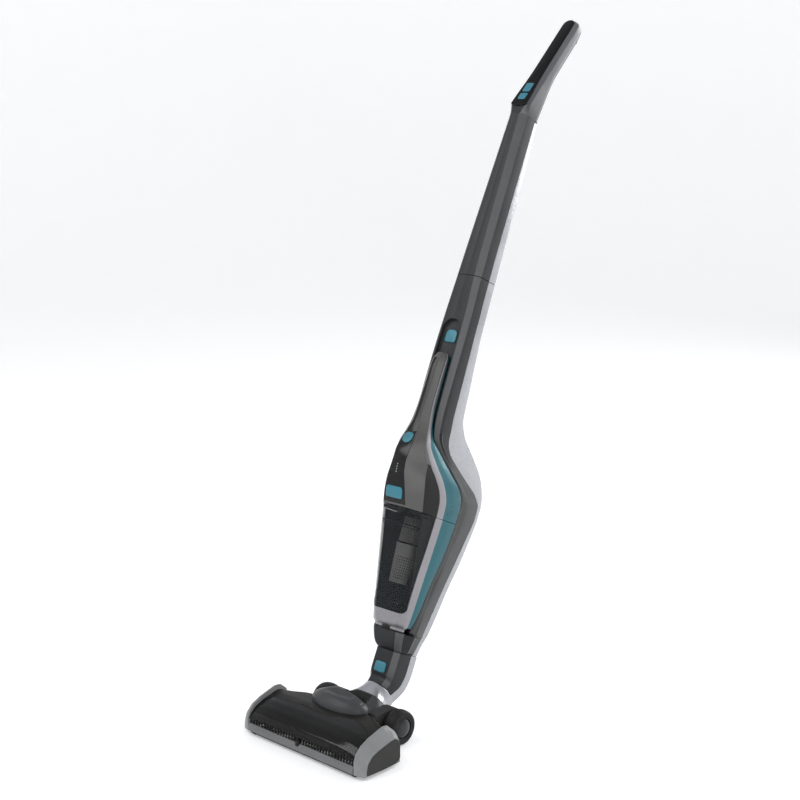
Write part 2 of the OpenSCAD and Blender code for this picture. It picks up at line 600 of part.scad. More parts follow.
module wheel_axles() color([0.75, 0.75, 0.75]) mirrored_x() translate([59.2, axle_y, axle_z])
  rotate([0, 90, 0]) union() {
    cylinder(r = 4, h = 26);
    translate([0, 0, 4]) cylinder(r = 6.5, h = 2);
  }
module wheel() translate([tyre_in, axle_y, axle_z]) rotate([0, 90, 0]) difference() {
  rotate_extrude() polygon(concat(
    [[4 + run_gap, 0], [wheel_r - 3, 0]],
    [for (a = [-60:20:60]) [wheel_r - 3 + 3 * cos(a), 10 + 10 * sin(a)]],
    [[wheel_r - 4, 21], [16, 21], [15.5, 17], [4 + run_gap, 17]]
  ));
}
module hub_cap() translate([tyre_in + 17.1, axle_y, axle_z]) rotate([0, 90, 0]) difference() {
  rotate_extrude() polygon(concat(
    [[0, 0], [15, 0]],
    [for (a = [0:15:90]) [15 * cos(a), 1.5 + 4.4 * sin(a)]]
  ));
  translate([0, 0, -1]) cylinder(r = 4.4, h = 3.4);
}
module wheel_right() color([0.13, 0.13, 0.13]) wheel();
module wheel_left() color([0.13, 0.13, 0.13]) mirror([1, 0, 0]) wheel();
module hub_cap_right() color([0.2, 0.21, 0.22]) hub_cap();
module hub_cap_left() color([0.2, 0.21, 0.22]) mirror([1, 0, 0]) hub_cap();
roller_x = 106;
module roller() translate([roller_x - 3, 0, roller_r]) rotate([0, 90, 0]) difference() {
  cylinder(r = roller_r, h = 6);
  translate([0, 0, -1]) cylinder(r = 1.5 + run_gap, h = 8);
}
module roller_right() color([0.15, 0.15, 0.15]) roller();
module roller_left() color([0.15, 0.15, 0.15]) mirror([1, 0, 0]) roller();
module roller_pins() color([0.75, 0.75, 0.75]) mirrored_x() translate([98.6, 0, roller_r])
  rotate([0, 90, 0]) cylinder(r = 1.5, h = 12.2);
module at_brush() translate([0, brush_at[0], brush_at[1]]) rotate([0, 90, 0]) children();
module brush_core() color([0.3, 0.1, 0.1]) at_brush() union() {
  translate([0, 0, -brush_half]) cylinder(r = core_r, h = 2 * brush_half);
  translate([0, 0, brush_half]) cylinder(r = 8, h = 9);
  translate([0, 0, -brush_half - 6]) cylinder(r = 4, h = 6);
  translate([0, 0, brush_half + 9]) cylinder(r = 4, h = 2);
}
rows_of_bristle = 4;
module brush_bristles() color([0.1, 0.1, 0.1]) at_brush() difference() {
  for (k = [0:rows_of_bristle - 1]) rotate([0, 0, 90 * k])
    translate([0, -1.5, -96]) cube([bristle_r, 3, 192]);
  translate([0, 0, -100]) cylinder(r = core_r + eps, h = 200);
}
module brush_bearings() color([0.6, 0.6, 0.3]) at_brush() {
  translate([0, 0, brush_half + 9.4]) difference() {
    cylinder(r = 7, h = 3);
    translate([0, 0, -1]) cylinder(r = 4 + run_gap, h = 5);
  }
  translate([0, 0, -brush_half - 6.5]) difference() {
    cylinder(r = 7, h = 5);
    translate([0, 0, -1]) cylinder(r = 4 + run_gap, h = 7);
  }
}
motor_at = [60, 24];
module brush_motor() color([0.55, 0.55, 0.56]) translate([45, motor_at[0], motor_at[1]]) rotate([0, 90, 0])
  difference() {
    union() {
      cylinder(r = 12, h = 50);
      translate([0, 0, 50]) cylinder(r = 5, h = 2);
    }
    translate([0, 0, 20]) cylinder(r = 1.5 + run_gap, h = 40);
  }
pulley_r = 5;
module motor_pulley() color([0.7, 0.6, 0.3]) translate([65.5, motor_at[0], motor_at[1]]) rotate([0, 90, 0]) union() {
  cylinder(r = 1.5, h = 34);
  translate([0, 0, 33.5]) cylinder(r = pulley_r, h = 9);
}
module drive_belt() color([0.06, 0.06, 0.06]) translate([100, 0, 0]) rotate([90, 0, 90]) difference() {
  linear_extrude(7) hull() {
    translate(brush_at) circle(r = 9.9);
    translate(motor_at) circle(r = pulley_r + 1.9);
  }
  translate([0, 0, -1]) linear_extrude(9) hull() {
    translate(brush_at) circle(r = 8.4);
    translate(motor_at) circle(r = pulley_r + 0.4);
  }
}
module sole_screws() color([0.6, 0.6, 0.6])
  for (p = [[-90, 55], [-30, 80], [30, 80], [90, 48]])
    translate([p[0], p[1], sole_z - 0.5]) difference() {
      cylinder(r = 3.2, h = 0.49);
      translate([0, 0, -0.1]) cylinder(r = 1.2, h = 0.4, $fn = 6);
    }

// ================= placing =================
function stick_y(s, t) = axle_y + s * sin(lean) + t * cos(lean);
front_y = -10;
bumper_s = handle_at[0] + bumper_at[1] * cos(handle_bend) - bumper_at[0] * sin(handle_bend);
bumper_t = handle_at[1] + bumper_at[1] * sin(handle_bend) + bumper_at[0] * cos(handle_bend);
back_y = stick_y(bumper_s, bumper_t) + bumper_r;
module place() translate([0, -(front_y + back_y) / 2, 0]) children();

place() sole_plate();
place() head_cover();
place() brush_window();
place() front_strip();
place() end_cap_left();
place() end_cap_right();
place() side_insert_left();
place() side_insert_right();
place() swivel_dome();
place() pivot_carrier();
place() pivot_tube();
place() wheel_axles();
place() roller_pins();
place() brush_bearings();
place() brush_motor();
place() drive_belt();
place() sole_screws();
place() wheel_left();
place() wheel_right();
place() hub_cap_left();
place() hub_cap_right();
place() roller_left();
place() roller_right();
place() brush_core();
place() brush_bristles();
place() motor_pulley();
place() yoke();
place() joint_hose();
place() neck_shell();
place() neck_spine();
place() head_release();
place() lower_chassis();
place() lower_spine();
place() upper_tube();
place() upper_spine();
place() handle_shell();
place() grip_plate();
place() power_button();
place() boost_button();
place() stick_release();
place() wall_bumper();
place() charge_socket();
place() vac_shell();
place() front_panel();
place() upper_trim();
place() upper_band();
place() nose_frame();
place() lower_band();
place() dust_bowl();
place() mesh_screen();
place() filter();
place() inlet_flap();
place() vac_motor();
place() fan();
place() battery_cells();
place() circuit_board();
place() power_switch();
place() bowl_release();
place() led_lenses();
place() dock_seal();
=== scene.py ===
# %% [markdown]
# # A cordless stick vacuum, leaning back as if held by its handle
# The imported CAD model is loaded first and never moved. It is right about sizes, joints and fits, but
# its shells are made of flat strips. So nearly every shell that shows is built again here as a smooth mesh
# from the same few measurements, some of them moved a few millimetres. The sole plate, and the small
# turned or hidden pieces, keep their CAD shape and get a finish.

# %% Load the fixed frame
import math
import bpy
import bmesh
import numpy as np
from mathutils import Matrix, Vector


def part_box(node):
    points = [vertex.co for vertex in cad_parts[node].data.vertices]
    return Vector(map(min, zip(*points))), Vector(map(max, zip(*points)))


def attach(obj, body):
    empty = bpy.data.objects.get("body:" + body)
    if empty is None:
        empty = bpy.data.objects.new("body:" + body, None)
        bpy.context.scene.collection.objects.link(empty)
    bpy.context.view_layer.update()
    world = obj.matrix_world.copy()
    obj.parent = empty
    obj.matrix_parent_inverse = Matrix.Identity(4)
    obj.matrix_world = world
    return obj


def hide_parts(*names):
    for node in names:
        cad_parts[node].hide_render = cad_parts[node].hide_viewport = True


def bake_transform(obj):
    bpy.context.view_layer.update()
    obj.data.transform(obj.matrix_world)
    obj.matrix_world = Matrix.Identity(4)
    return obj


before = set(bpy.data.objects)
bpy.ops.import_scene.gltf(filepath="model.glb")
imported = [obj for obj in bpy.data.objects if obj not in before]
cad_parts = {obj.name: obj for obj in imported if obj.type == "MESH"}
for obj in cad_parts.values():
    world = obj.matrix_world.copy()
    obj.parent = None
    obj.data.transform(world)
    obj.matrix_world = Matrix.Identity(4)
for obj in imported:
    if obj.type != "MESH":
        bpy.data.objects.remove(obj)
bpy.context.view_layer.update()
MM = 0.001

# %% [markdown]
# The cleaner is drawn in four simple frames, all measured from the wheel axle: the floor head lies flat,
# the lower neck leans steeply, the stick leans back 24.5 degrees, and the handle bends back again. Each
# frame gets a small function that turns its own millimetres into metres in the shared frame.

# %% The four frames
axle_low, axle_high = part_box("pivot_tube")
AXLE = (axle_low + axle_high) / 2
LEAN = math.radians(24.5)
NECK_BEND = math.radians(36.8)
HANDLE_BEND = math.radians(20.8)
FRONT_Y = AXLE.y / MM - 123.3


def leaned(angle):
    def place(x, t, s):
        y = s * math.sin(angle) + t * math.cos(angle)
        z = s * math.cos(angle) - t * math.sin(angle)
        return Vector((x * MM, AXLE.y + y * MM, AXLE.z + z * MM))
    return place


stick = leaned(LEAN)
low_neck = leaned(LEAN + NECK_BEND)


def handle(x, p, h):
    """Handle frame: p runs in from the front plate, h runs up the handle."""
    s = 972 + h * math.cos(HANDLE_BEND) - p * math.sin(HANDLE_BEND)
    t = -53 + h * math.sin(HANDLE_BEND) + p * math.cos(HANDLE_BEND)
    return stick(x, t, s)


def head(x, y, z):
    """Floor head frame: y runs back from the front rollers, z up from the floor."""
    return Vector((x * MM, (y + FRONT_Y) * MM, z * MM))


print("axle at", [round(v, 4) for v in AXLE])

# %% [markdown]
# The camera comes before anything is built, so that every look at the work is from the same place: low,
# in front and to the right, with a fairly long lens, as a catalogue picture of such a cleaner is taken.

# %% Camera
camera_data = bpy.data.cameras.new("camera")
camera_data.lens = 68.12
camera_data.sensor_width = 36
camera = bpy.data.objects.new("camera", camera_data)
bpy.context.scene.collection.objects.link(camera)
camera.location = (1.51722, -1.72312, 0.96472)
aim = Vector((0, -0.10054, 0.50019)) - camera.location
camera.rotation_euler = aim.to_track_quat("-Z", "Y").to_euler()
bpy.context.scene.camera = camera
print("camera", round(aim.length, 3), "m from what it looks at")

# %% [markdown]
# A moulded shell changes its section slowly along its length. The designer gives the section at a few
# heights, and a smooth curve is run through each measurement. A plain cubic would swing past the given
# values, so the slopes are limited where a measurement turns round.

# %% Smooth stations between the measured ones
def slopes(heights, values):
    step = np.diff(heights)[:, None]
    rise = np.diff(values, axis=0) / step
    out = np.zeros_like(values)
    out[0], out[-1] = rise[0], rise[-1]
    a, b = rise[:-1], rise[1:]
    same = a * b > 0
    out[1:-1] = np.where(same, 2 * a * b / np.where(same, a + b, 1), 0)
    return out


def station(table, s):
    """The measurements at height s, on a smooth curve through the table's rows."""
    rows = np.array(table, float)
    heights, values = rows[:, 0], rows[:, 1:]
    grades = slopes(heights, values)
    k = int(np.clip(np.searchsorted(heights, s) - 1, 0, len(heights) - 2))
    span = heights[k + 1] - heights[k]
    u = (s - heights[k]) / span
    u = min(max(u, 0.0), 1.0)
    a = (1 + 2 * u) * (1 - u) ** 2 * values[k] + u * u * (3 - 2 * u) * values[k + 1]
    b = u * (1 - u) ** 2 * span * grades[k] - u * u * (1 - u) * span * grades[k + 1]
    return a + b


def heights_between(low, high, step=4.0):
    count = max(2, int(round((high - low) / step)) + 1)
    return [low + (high - low) * i / (count - 1) for i in range(count)]


print("a station half way:", station([[0, 1, 5], [10, 3, 5]], 5))

# %% [markdown]
# Real moulded corners are never sharp. `rounded` takes the corner points of an open outline and puts a
# short arc of a given radius in place of each one. The number of points never changes from one section
# to the next, so sections can be joined ring by ring into clean rows of four-sided faces.

# %% Outlines with rounded corners
def unit(v):
    return v / max(np.linalg.norm(v), 1e-9)


def rounded(points, radii, steps=4):
    pts = [np.array(p, float) for p in points]
    out = [pts[0]]
    for i in range(1, len(pts) - 1):
        to_a, to_b = pts[i - 1] - pts[i], pts[i + 1] - pts[i]
        reach = 0.46 * min(np.linalg.norm(to_a), np.linalg.norm(to_b))
        cos_half = math.sqrt(max((1 + float(unit(to_a) @ unit(to_b))) / 2, 1e-6))
        sin_half = math.sqrt(max(1 - cos_half ** 2, 1e-6))
        cut = min(radii[i] * cos_half / sin_half, reach)
        a, b = pts[i] + unit(to_a) * cut, pts[i] + unit(to_b) * cut
        for k in range(steps + 1):
            u = k / steps
            out.append(a * (1 - u) ** 2 + 2 * pts[i] * u * (1 - u) + b * u * u)
    out.append(pts[-1])
    return out


def thickened(points, wall):
    """A closed ring from an open outline: the outline, then its inner side back again."""
    pts = np.array(points)
    way = np.gradient(pts, axis=0)
    normal = np.stack([-way[:, 1], way[:, 0]], axis=1)
    normal /= np.maximum(np.linalg.norm(normal, axis=1), 1e-9)[:, None]
    return list(pts) + list((pts + normal * wall)[::-1])


def both_sides(half):
    """A whole outline from its right half, which runs from the middle outwards."""
    return [np.array([-x, t]) for x, t in reversed(half)] + [np.array(p, float) for p in half]


print("points in one rounded corner:", len(rounded([(0, 0), (1, 0), (1, 1)], [0, 0.3, 0])))

# %% [markdown]
# Three small builders make most of the meshes. `loft` joins rings of points, `lathe` spins a profile
# round an axis, and `slab` raises a flat outline with a soft edge and a slight crown, as a moulded button
# has. Each finishes with `fitted`, which rides the piece on its CAD body, gives it its finishes and hides
# the CAD nodes it stands for.

# %% Building helpers
def new_object(name, verts, faces, smooth_angle=32):
    mesh = bpy.data.meshes.new(name)
    mesh.from_pydata([tuple(v) for v in verts], [], faces)
    work = bmesh.new()
    work.from_mesh(mesh)
    bmesh.ops.remove_doubles(work, verts=work.verts, dist=1e-6)
    bmesh.ops.dissolve_degenerate(work, edges=work.edges, dist=1e-7)
    bmesh.ops.recalc_face_normals(work, faces=work.faces)
    if work.calc_volume(signed=True) < 0:
        bmesh.ops.reverse_faces(work, faces=work.faces)
    work.to_mesh(mesh)
    work.free()
    mesh.shade_smooth()
    mesh.set_sharp_from_angle(angle=math.radians(smooth_angle))
    piece = bpy.data.objects.new(name, mesh)
    bpy.context.scene.collection.objects.link(piece)
    return piece


def loft(name, rings, closed=True, caps=True, smooth_angle=32):
    """Joins rings of space points, which all have the same number, into one skin."""
    n = len(rings[0])
    verts = [p for r in rings for p in r]
    faces = []
    last = n if closed else n - 1
    for k in range(len(rings) - 1):
        for i in range(last):
            j = (i + 1) % n
            faces.append([k * n + i, k * n + j, (k + 1) * n + j, (k + 1) * n + i])
    if caps:
        faces.append(list(range(n))[::-1])
        faces.append([(len(rings) - 1) * n + i for i in range(n)])
    return new_object(name, verts, faces, smooth_angle)


def lathe(name, profile, origin, along, steps=96, smooth_angle=32):
    """profile: (radius, distance along the axis) in mm. along: unit axis direction."""
    along = Vector(along).normalized()
    side = along.orthogonal().normalized()
    other = along.cross(side)
    rings = []
    for k in range(steps):
        a = 2 * math.pi * k / steps
        out = side * math.cos(a) + other * math.sin(a)
        rings.append([Vector(origin) + (out * r + along * d) * MM for r, d in profile])
    rings.append(rings[0])
    return loft(name, rings, closed=True, caps=False, smooth_angle=smooth_angle)


def corner_outline(half_w, low, high, low_round, high_round, steps=8):
    """Closed outline of a button: x across, y up, with its own rounding below and above."""
    pts = []
    corners = [(half_w, low, low_round, -90), (half_w, high, high_round, 0),
               (-half_w, high, high_round, 90), (-half_w, low, low_round, 180)]
    for x, y, r, start in corners:
        cx, cy = x - math.copysign(r, x), y + (r if y == low else -r)
        for k in range(steps + 1):
            a = math.radians(start + 90 * k / steps)
            pts.append((cx + r * math.cos(a), cy + r * math.sin(a)))
    return pts


def slab(name, outline, place, low, high, edge=0.7, crown=0.0, steps=4):
    """A flat outline raised from low to high, its top edge rolled over by edge. place(x, y, z)."""
    pts = np.array(outline)
    mid = (pts.max(axis=0) + pts.min(axis=0)) / 2
    reach = (pts.max(axis=0) - pts.min(axis=0)).min() / 2
    levels = [(0, low)]
    levels += [(edge * (1 - math.cos(math.radians(90 * k / steps))),
                high - edge + edge * math.sin(math.radians(90 * k / steps))) for k in range(steps + 1)]
    inner = [0.3, 0.55, 0.8, 0.97]
    rings = []
    for inset, z in levels:
        f = 1 - inset / reach
        rings.append([place(*(mid + (p - mid) * f), z) for p in pts])
    for f in inner:
        near = [mid + (p - mid) * (1 - edge / reach) * (1 - f) for p in pts]
        rings.append([place(*p, high + crown * f * (2 - f)) for p in near])
    return loft(name, rings, smooth_angle=40)


def cut(piece, *cutters):
    """Cuts other shapes out of a piece for good, and takes the cutters away."""
    for tool in cutters:
        boolean = piece.modifiers.new("cut", "BOOLEAN")
        boolean.operation = "DIFFERENCE"
        boolean.solver = "EXACT"
        boolean.object = tool
    graph = bpy.context.evaluated_depsgraph_get()
    result = bpy.data.meshes.new_from_object(piece.evaluated_get(graph))
    piece.modifiers.clear()
    piece.data = result
    for tool in cutters:
        bpy.data.objects.remove(tool)
    result.set_sharp_from_angle(angle=math.radians(32))
    return piece


def joined(name, pieces):
    """Several closed meshes of one real piece, kept as one object."""
    work = bmesh.new()
    for piece in pieces:
        work.from_mesh(piece.data)
    mesh = pieces[0].data.copy()
    work.to_mesh(mesh)
    work.free()
    for piece in pieces:
        bpy.data.objects.remove(piece)
    mesh.name = name
    whole = bpy.data.objects.new(name, mesh)
    bpy.context.scene.collection.objects.link(whole)
    mesh.set_sharp_from_angle(angle=math.radians(32))
    return whole


def fitted(piece, body, slot, finishes, *nodes):
    for finish in finishes if isinstance(finishes, (list, tuple)) else [finishes]:
        piece.data.materials.append(finish)
    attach(piece, body)
    if nodes:
        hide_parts(*nodes)
    print(piece.name, len(piece.data.polygons), "faces")
    return piece


def paint_faces(piece, index, test):
    """Gives the faces that pass test(centre, normal) another of the piece's finishes."""
    count = 0
    for face in piece.data.polygons:
        if test(face.center, face.normal):
            face.material_index = index
            count += 1
    return count


print("builders ready")

# %% [markdown]
# ## Finishes
# Moulded plastic is never one flat colour. Under a close lens it has a fine spark-eroded grain, and its gloss
# drifts a little where hands and cloths have rubbed it. Its outer edges get a painted highlight, a lighter shade
# where light would catch them. Three effects are shared by nearly every finish, so each is a node group that is
# built once: `grain`, `handling` and one for the painted edge highlight. A group gives only colours, masks and
# heights; the shader stays outside.

# %% Shared effects
def effect(name, inputs, outputs):
    group = bpy.data.node_groups.new(name, "ShaderNodeTree")
    for label, default in inputs:
        sock = group.interface.new_socket(label, in_out="INPUT", socket_type="NodeSocketFloat")
        sock.default_value = default
    for label, kind in outputs:
        group.interface.new_socket(label, in_out="OUTPUT", socket_type=kind)
    ins, outs = group.nodes.new("NodeGroupInput"), group.nodes.new("NodeGroupOutput")
    return group, ins, outs


def add(tree, kind, **settings):
    node = tree.nodes.new(kind)
    for key, value in settings.items():
        if key in node.inputs:
            node.inputs[key].default_value = value
        else:
            setattr(node, key, value)
    return node


def grain_effect():
    """Fine moulded grain: a height for bump and a speckle mask. Scale is in bumps per metre."""
    group, ins, outs = effect("grain", [("Scale", 1500.0)],
                              [("Height", "NodeSocketFloat"), ("Speckle", "NodeSocketFloat")])
    where = add(group, "ShaderNodeTexCoord")
    fine = add(group, "ShaderNodeTexNoise", Detail=3.0, Roughness=0.6)
    cells = add(group, "ShaderNodeTexVoronoi")
    group.links.new(where.outputs["Object"], fine.inputs["Vector"])
    group.links.new(where.outputs["Object"], cells.inputs["Vector"])
    group.links.new(ins.outputs["Scale"], fine.inputs["Scale"])
    group.links.new(ins.outputs["Scale"], cells.inputs["Scale"])
    mix = add(group, "ShaderNodeMath", operation="MULTIPLY_ADD")
    mix.inputs[1].default_value = 0.5
    group.links.new(cells.outputs["Distance"], mix.inputs[0])
    group.links.new(fine.outputs["Fac"], mix.inputs[2])
    group.links.new(mix.outputs[0], outs.inputs["Height"])
    split = add(group, "ShaderNodeSeparateColor")
    group.links.new(cells.outputs["Color"], split.inputs[0])
    group.links.new(split.outputs[0], outs.inputs["Speckle"])
    return group


def handling_effect():
    """Soft clouds where the gloss drifts, with a few short wipe marks along the stick."""
    group, ins, outs = effect("handling", [("Scale", 14.0)], [("Mask", "NodeSocketFloat")])
    where = add(group, "ShaderNodeTexCoord")
    clouds = add(group, "ShaderNodeTexNoise", Detail=4.0, Roughness=0.55, Distortion=0.4)
    stretch = add(group, "ShaderNodeMapping")
    stretch.inputs["Scale"].default_value = (60.0, 60.0, 5.0)
    wipes = add(group, "ShaderNodeTexNoise", Scale=9.0, Detail=2.0)
    group.links.new(where.outputs["Object"], clouds.inputs["Vector"])
    group.links.new(ins.outputs["Scale"], clouds.inputs["Scale"])
    group.links.new(where.outputs["Object"], stretch.inputs["Vector"])
    group.links.new(stretch.outputs[0], wipes.inputs["Vector"])
    shape = add(group, "ShaderNodeMapRange")
    shape.inputs["From Min"].default_value = 0.35
    shape.inputs["From Max"].default_value = 0.7
    group.links.new(clouds.outputs["Fac"], shape.inputs["Value"])
    both = add(group, "ShaderNodeMath", operation="MULTIPLY_ADD", use_clamp=True)
    both.inputs[1].default_value = 0.35
    group.links.new(wipes.outputs["Fac"], both.inputs[0])
    group.links.new(shape.outputs["Result"], both.inputs[2])
    group.links.new(both.outputs[0], outs.inputs["Mask"])
    return group


def edge_highlight_effect():
    """Outer edges painted a shade lighter as a painted highlight where light would catch them, broken up by a
    noise.
    """
    group, ins, outs = effect("painted_edge_highlight", [("Start", 0.52), ("Full", 0.62)],
                              [("Mask", "NodeSocketFloat")])
    shape = add(group, "ShaderNodeNewGeometry")
    ramp = add(group, "ShaderNodeMapRange")
    group.links.new(shape.outputs["Pointiness"], ramp.inputs["Value"])
    group.links.new(ins.outputs["Start"], ramp.inputs["From Min"])
    group.links.new(ins.outputs["Full"], ramp.inputs["From Max"])
    where = add(group, "ShaderNodeTexCoord")
    broken = add(group, "ShaderNodeTexNoise", Scale=90.0, Detail=3.0)
    group.links.new(where.outputs["Object"], broken.inputs["Vector"])
    product = add(group, "ShaderNodeMath", operation="MULTIPLY")
    group.links.new(ramp.outputs["Result"], product.inputs[0])
    group.links.new(broken.outputs["Fac"], product.inputs[1])
    group.links.new(product.outputs[0], outs.inputs["Mask"])
    return group


GRAIN, HANDLING, EDGE_HIGHLIGHT = grain_effect(), handling_effect(), edge_highlight_effect()
print("effects:", [g.name for g in (GRAIN, HANDLING, EDGE_HIGHLIGHT)])

# %% [markdown]
# One recipe then makes every opaque finish. Its colour drifts between two close shades with the
# `handling` mask and goes a little lighter on the edges as a painted highlight, its roughness follows the
# same mask, and the grain drives a shallow bump. Painted parts add metal flakes as a speckle in the colour, and
# a clear coat.

# %% The recipe for opaque finishes
def placed(tree, group, **values):
    node = tree.nodes.new("ShaderNodeGroup")
    node.node_tree = group
    for key, value in values.items():
        node.inputs[key].default_value = value
    return node


def blend_colour(tree, mask, a, b):
    mix = add(tree, "ShaderNodeMix", data_type="RGBA")
    tree.links.new(mask, mix.inputs["Factor"])
    for value, sock in ((a, mix.inputs[6]), (b, mix.inputs[7])):
        if isinstance(value, tuple):
            sock.default_value = (*value, 1)
        else:
            tree.links.new(value, sock)
    return mix.outputs[2]


def scaled(tree, value, factor, offset=0.0):
    node = add(tree, "ShaderNodeMath", operation="MULTIPLY_ADD", use_clamp=True)
    tree.links.new(value, node.inputs[0])
    node.inputs[1].default_value = factor
    node.inputs[2].default_value = offset
    return node.outputs[0]


def shade_of(colour, factor):
    return tuple(min(1.0, c * factor) for c in colour)


def finish(name, colour, rough=0.4, metal=0.0, shine=0.5, coat=0.0, grain=1500.0, depth=0.04,
           flake=0.0, drift=0.12, edge_highlight=0.5, rough_drift=0.1):
    mat = bpy.data.materials.new(name)
    mat.use_nodes = True
    tree = mat.node_tree
    shader = tree.nodes["Principled BSDF"]
    shader.inputs["Metallic"].default_value = metal
    shader.inputs["Specular IOR Level"].default_value = shine
    shader.inputs["Coat Weight"].default_value = coat
    shader.inputs["Coat Roughness"].default_value = 0.08
    hands = placed(tree, HANDLING)
    edges = placed(tree, EDGE_HIGHLIGHT)
    texture = placed(tree, GRAIN, Scale=grain)
    tone = blend_colour(tree, hands.outputs["Mask"], shade_of(colour, 1 - drift),
                        shade_of(colour, 1 + drift))
    if flake:
        tone = blend_colour(tree, scaled(tree, texture.outputs["Speckle"], flake), tone,
                            shade_of(colour, 1.9))
    # painted highlight: convex edges, found by pointiness, get a lighter copy of the colour
    tone = blend_colour(tree, scaled(tree, edges.outputs["Mask"], edge_highlight), tone, shade_of(colour, 1.8))
    tree.links.new(tone, shader.inputs["Base Color"])
    tree.links.new(scaled(tree, hands.outputs["Mask"], rough_drift, rough - rough_drift / 2),
                   shader.inputs["Roughness"])
    bump = add(tree, "ShaderNodeBump", Strength=depth, Distance=0.0004)
    tree.links.new(texture.outputs["Height"], bump.inputs["Height"])
    tree.links.new(bump.outputs[0], shader.inputs["Normal"])
    return mat


GUNMETAL = finish("gunmetal", (0.0155, 0.016, 0.0175), rough=0.36, shine=0.2, flake=0.35, depth=0.03)
# painted highlight: a lighter copy of the gunmetal, painted on the chamfers where they would catch the light
GUNMETAL_LIT_CHAMFER = finish("gunmetal_chamfer_painted_highlight", (0.058, 0.059, 0.061), rough=0.34, shine=0.3, flake=0.25,
                       depth=0.03)
SILVER = finish("silver_paint", (0.29, 0.295, 0.31), rough=0.27, metal=0.85, coat=0.1, grain=2200.0,
                depth=0.08, flake=0.35, drift=0.08, edge_highlight=0.12)
TRIM = finish("trim_silver", (0.205, 0.2, 0.213), rough=0.34, metal=0.6, flake=0.25, depth=0.03,
              drift=0.05)
BODY_GREY = finish("body_grey", (0.062, 0.061, 0.059), rough=0.34, shine=0.35, flake=0.25, depth=0.03)
# painted highlight: a thin light line along the crease of the chassis side, where light would catch the edge
CREASE_HIGHLIGHT = finish("painted_crease_highlight", (0.28, 0.28, 0.285), rough=0.34, metal=0.3, depth=0.02)
# painted shade: a near-black copy of the dark plastic for the lower sides of the chassis and the hand vacuum,
# which lie in shade
SHADED_SIDE_BLACK = finish("side_black_painted_shade", (0.004, 0.004, 0.0042), rough=0.34, shine=0.18, depth=0.02, edge_highlight=0.2)
PANEL = finish("panel_black", (0.0035, 0.0035, 0.004), rough=0.16, shine=0.25, coat=0.05, grain=900.0,
               depth=0.008, edge_highlight=0.2)
TEAL = finish("teal_paint", (0.005, 0.078, 0.098), rough=0.3, metal=0.35, shine=0.35, coat=0.15, flake=0.12,
              depth=0.02, drift=0.06, edge_highlight=0.15)
BUTTON = finish("button_teal", (0.024, 0.15, 0.2), rough=0.38, shine=0.4, depth=0.05, edge_highlight=0.3)
GRIP = finish("grip_black", (0.0025, 0.0025, 0.003), rough=0.42, shine=0.12, grain=1100.0, depth=0.1)
HEAD_BLACK = finish("head_black", (0.0085, 0.008, 0.0068), rough=0.38, shine=0.16, depth=0.05)
CAP_GREY = finish("cap_grey", (0.165, 0.167, 0.17), rough=0.42, shine=0.35, flake=0.1, depth=0.05)
INSERT = finish("insert_grey", (0.024, 0.024, 0.0225), rough=0.5, shine=0.16, grain=900.0, depth=0.14)
DOME = finish("dome_grey", (0.03, 0.031, 0.033), rough=0.38, shine=0.28, flake=0.15, depth=0.04)
DARK = finish("dark_plastic", (0.008, 0.008, 0.008), rough=0.5, shine=0.2, grain=1000.0, depth=0.12)
TYRE = finish("tyre_rubber", (0.012, 0.012, 0.0125), rough=0.55, shine=0.16, grain=800.0, depth=0.16)
HUB = finish("hub_gloss", (0.01, 0.0105, 0.0115), rough=0.2, shine=0.25, coat=0.15, depth=0.02)
RUBBER = finish("soft_rubber", (0.008, 0.008, 0.008), rough=0.6, shine=0.25, grain=700.0, depth=0.12)
STEEL = finish("bright_steel", (0.6, 0.6, 0.6), rough=0.25, metal=1.0, grain=2500.0, depth=0.06, drift=0.05)
BRONZE = finish("sintered_bronze", (0.5, 0.37, 0.2), rough=0.45, metal=1.0, grain=2500.0, depth=0.1)
BRISTLE = finish("nylon_bristle", (0.05, 0.05, 0.05), rough=0.45, shine=0.3, depth=0.05)
BRUSH_RED = finish("brush_core_red", (0.07, 0.012, 0.01), rough=0.4, depth=0.05)
FELT = finish("filter_felt", (0.3, 0.29, 0.27), rough=0.9, shine=0.2, grain=1800.0, depth=0.5)
MESH_GREY = finish("screen_grey", (0.34, 0.33, 0.31), rough=0.42, depth=0.05)
SLEEVE = finish("cell_sleeve", (0.03, 0.2, 0.35), rough=0.35, depth=0.05)
BOARD = finish("board_green", (0.01, 0.12, 0.04), rough=0.4, depth=0.05)
STRIP = finish("strip_grey", (0.11, 0.112, 0.115), rough=0.38, shine=0.4, depth=0.06)


def clear_finish(name, colour, alpha, rough=0.06):
    """Tinted clear plastic: thin, so it dims what is behind it instead of bending it."""
    mat = bpy.data.materials.new(name)
    mat.use_nodes = True
    tree = mat.node_tree
    shader = tree.nodes["Principled BSDF"]
    shader.inputs["Coat Weight"].default_value = 0.05
    shader.inputs["Specular IOR Level"].default_value = 0.3
    hands = placed(tree, HANDLING, Scale=20.0)
    tone = blend_colour(tree, hands.outputs["Mask"], shade_of(colour, 0.85), shade_of(colour, 1.2))
    tree.links.new(tone, shader.inputs["Base Color"])
    tree.links.new(scaled(tree, hands.outputs["Mask"], 0.08, rough), shader.inputs["Roughness"])
    tree.links.new(scaled(tree, hands.outputs["Mask"], 0.05, alpha), shader.inputs["Alpha"])
    return mat


SMOKE = clear_finish("smoked_bowl", (0.002, 0.005, 0.007), 0.34)
WINDOW = clear_finish("tinted_window", (0.0015, 0.0015, 0.0015), 0.7, rough=0.07)
LIGHT = finish("light_lens", (0.8, 0.82, 0.85), rough=0.3, depth=0.02)
print("finishes:", len(bpy.data.materials))

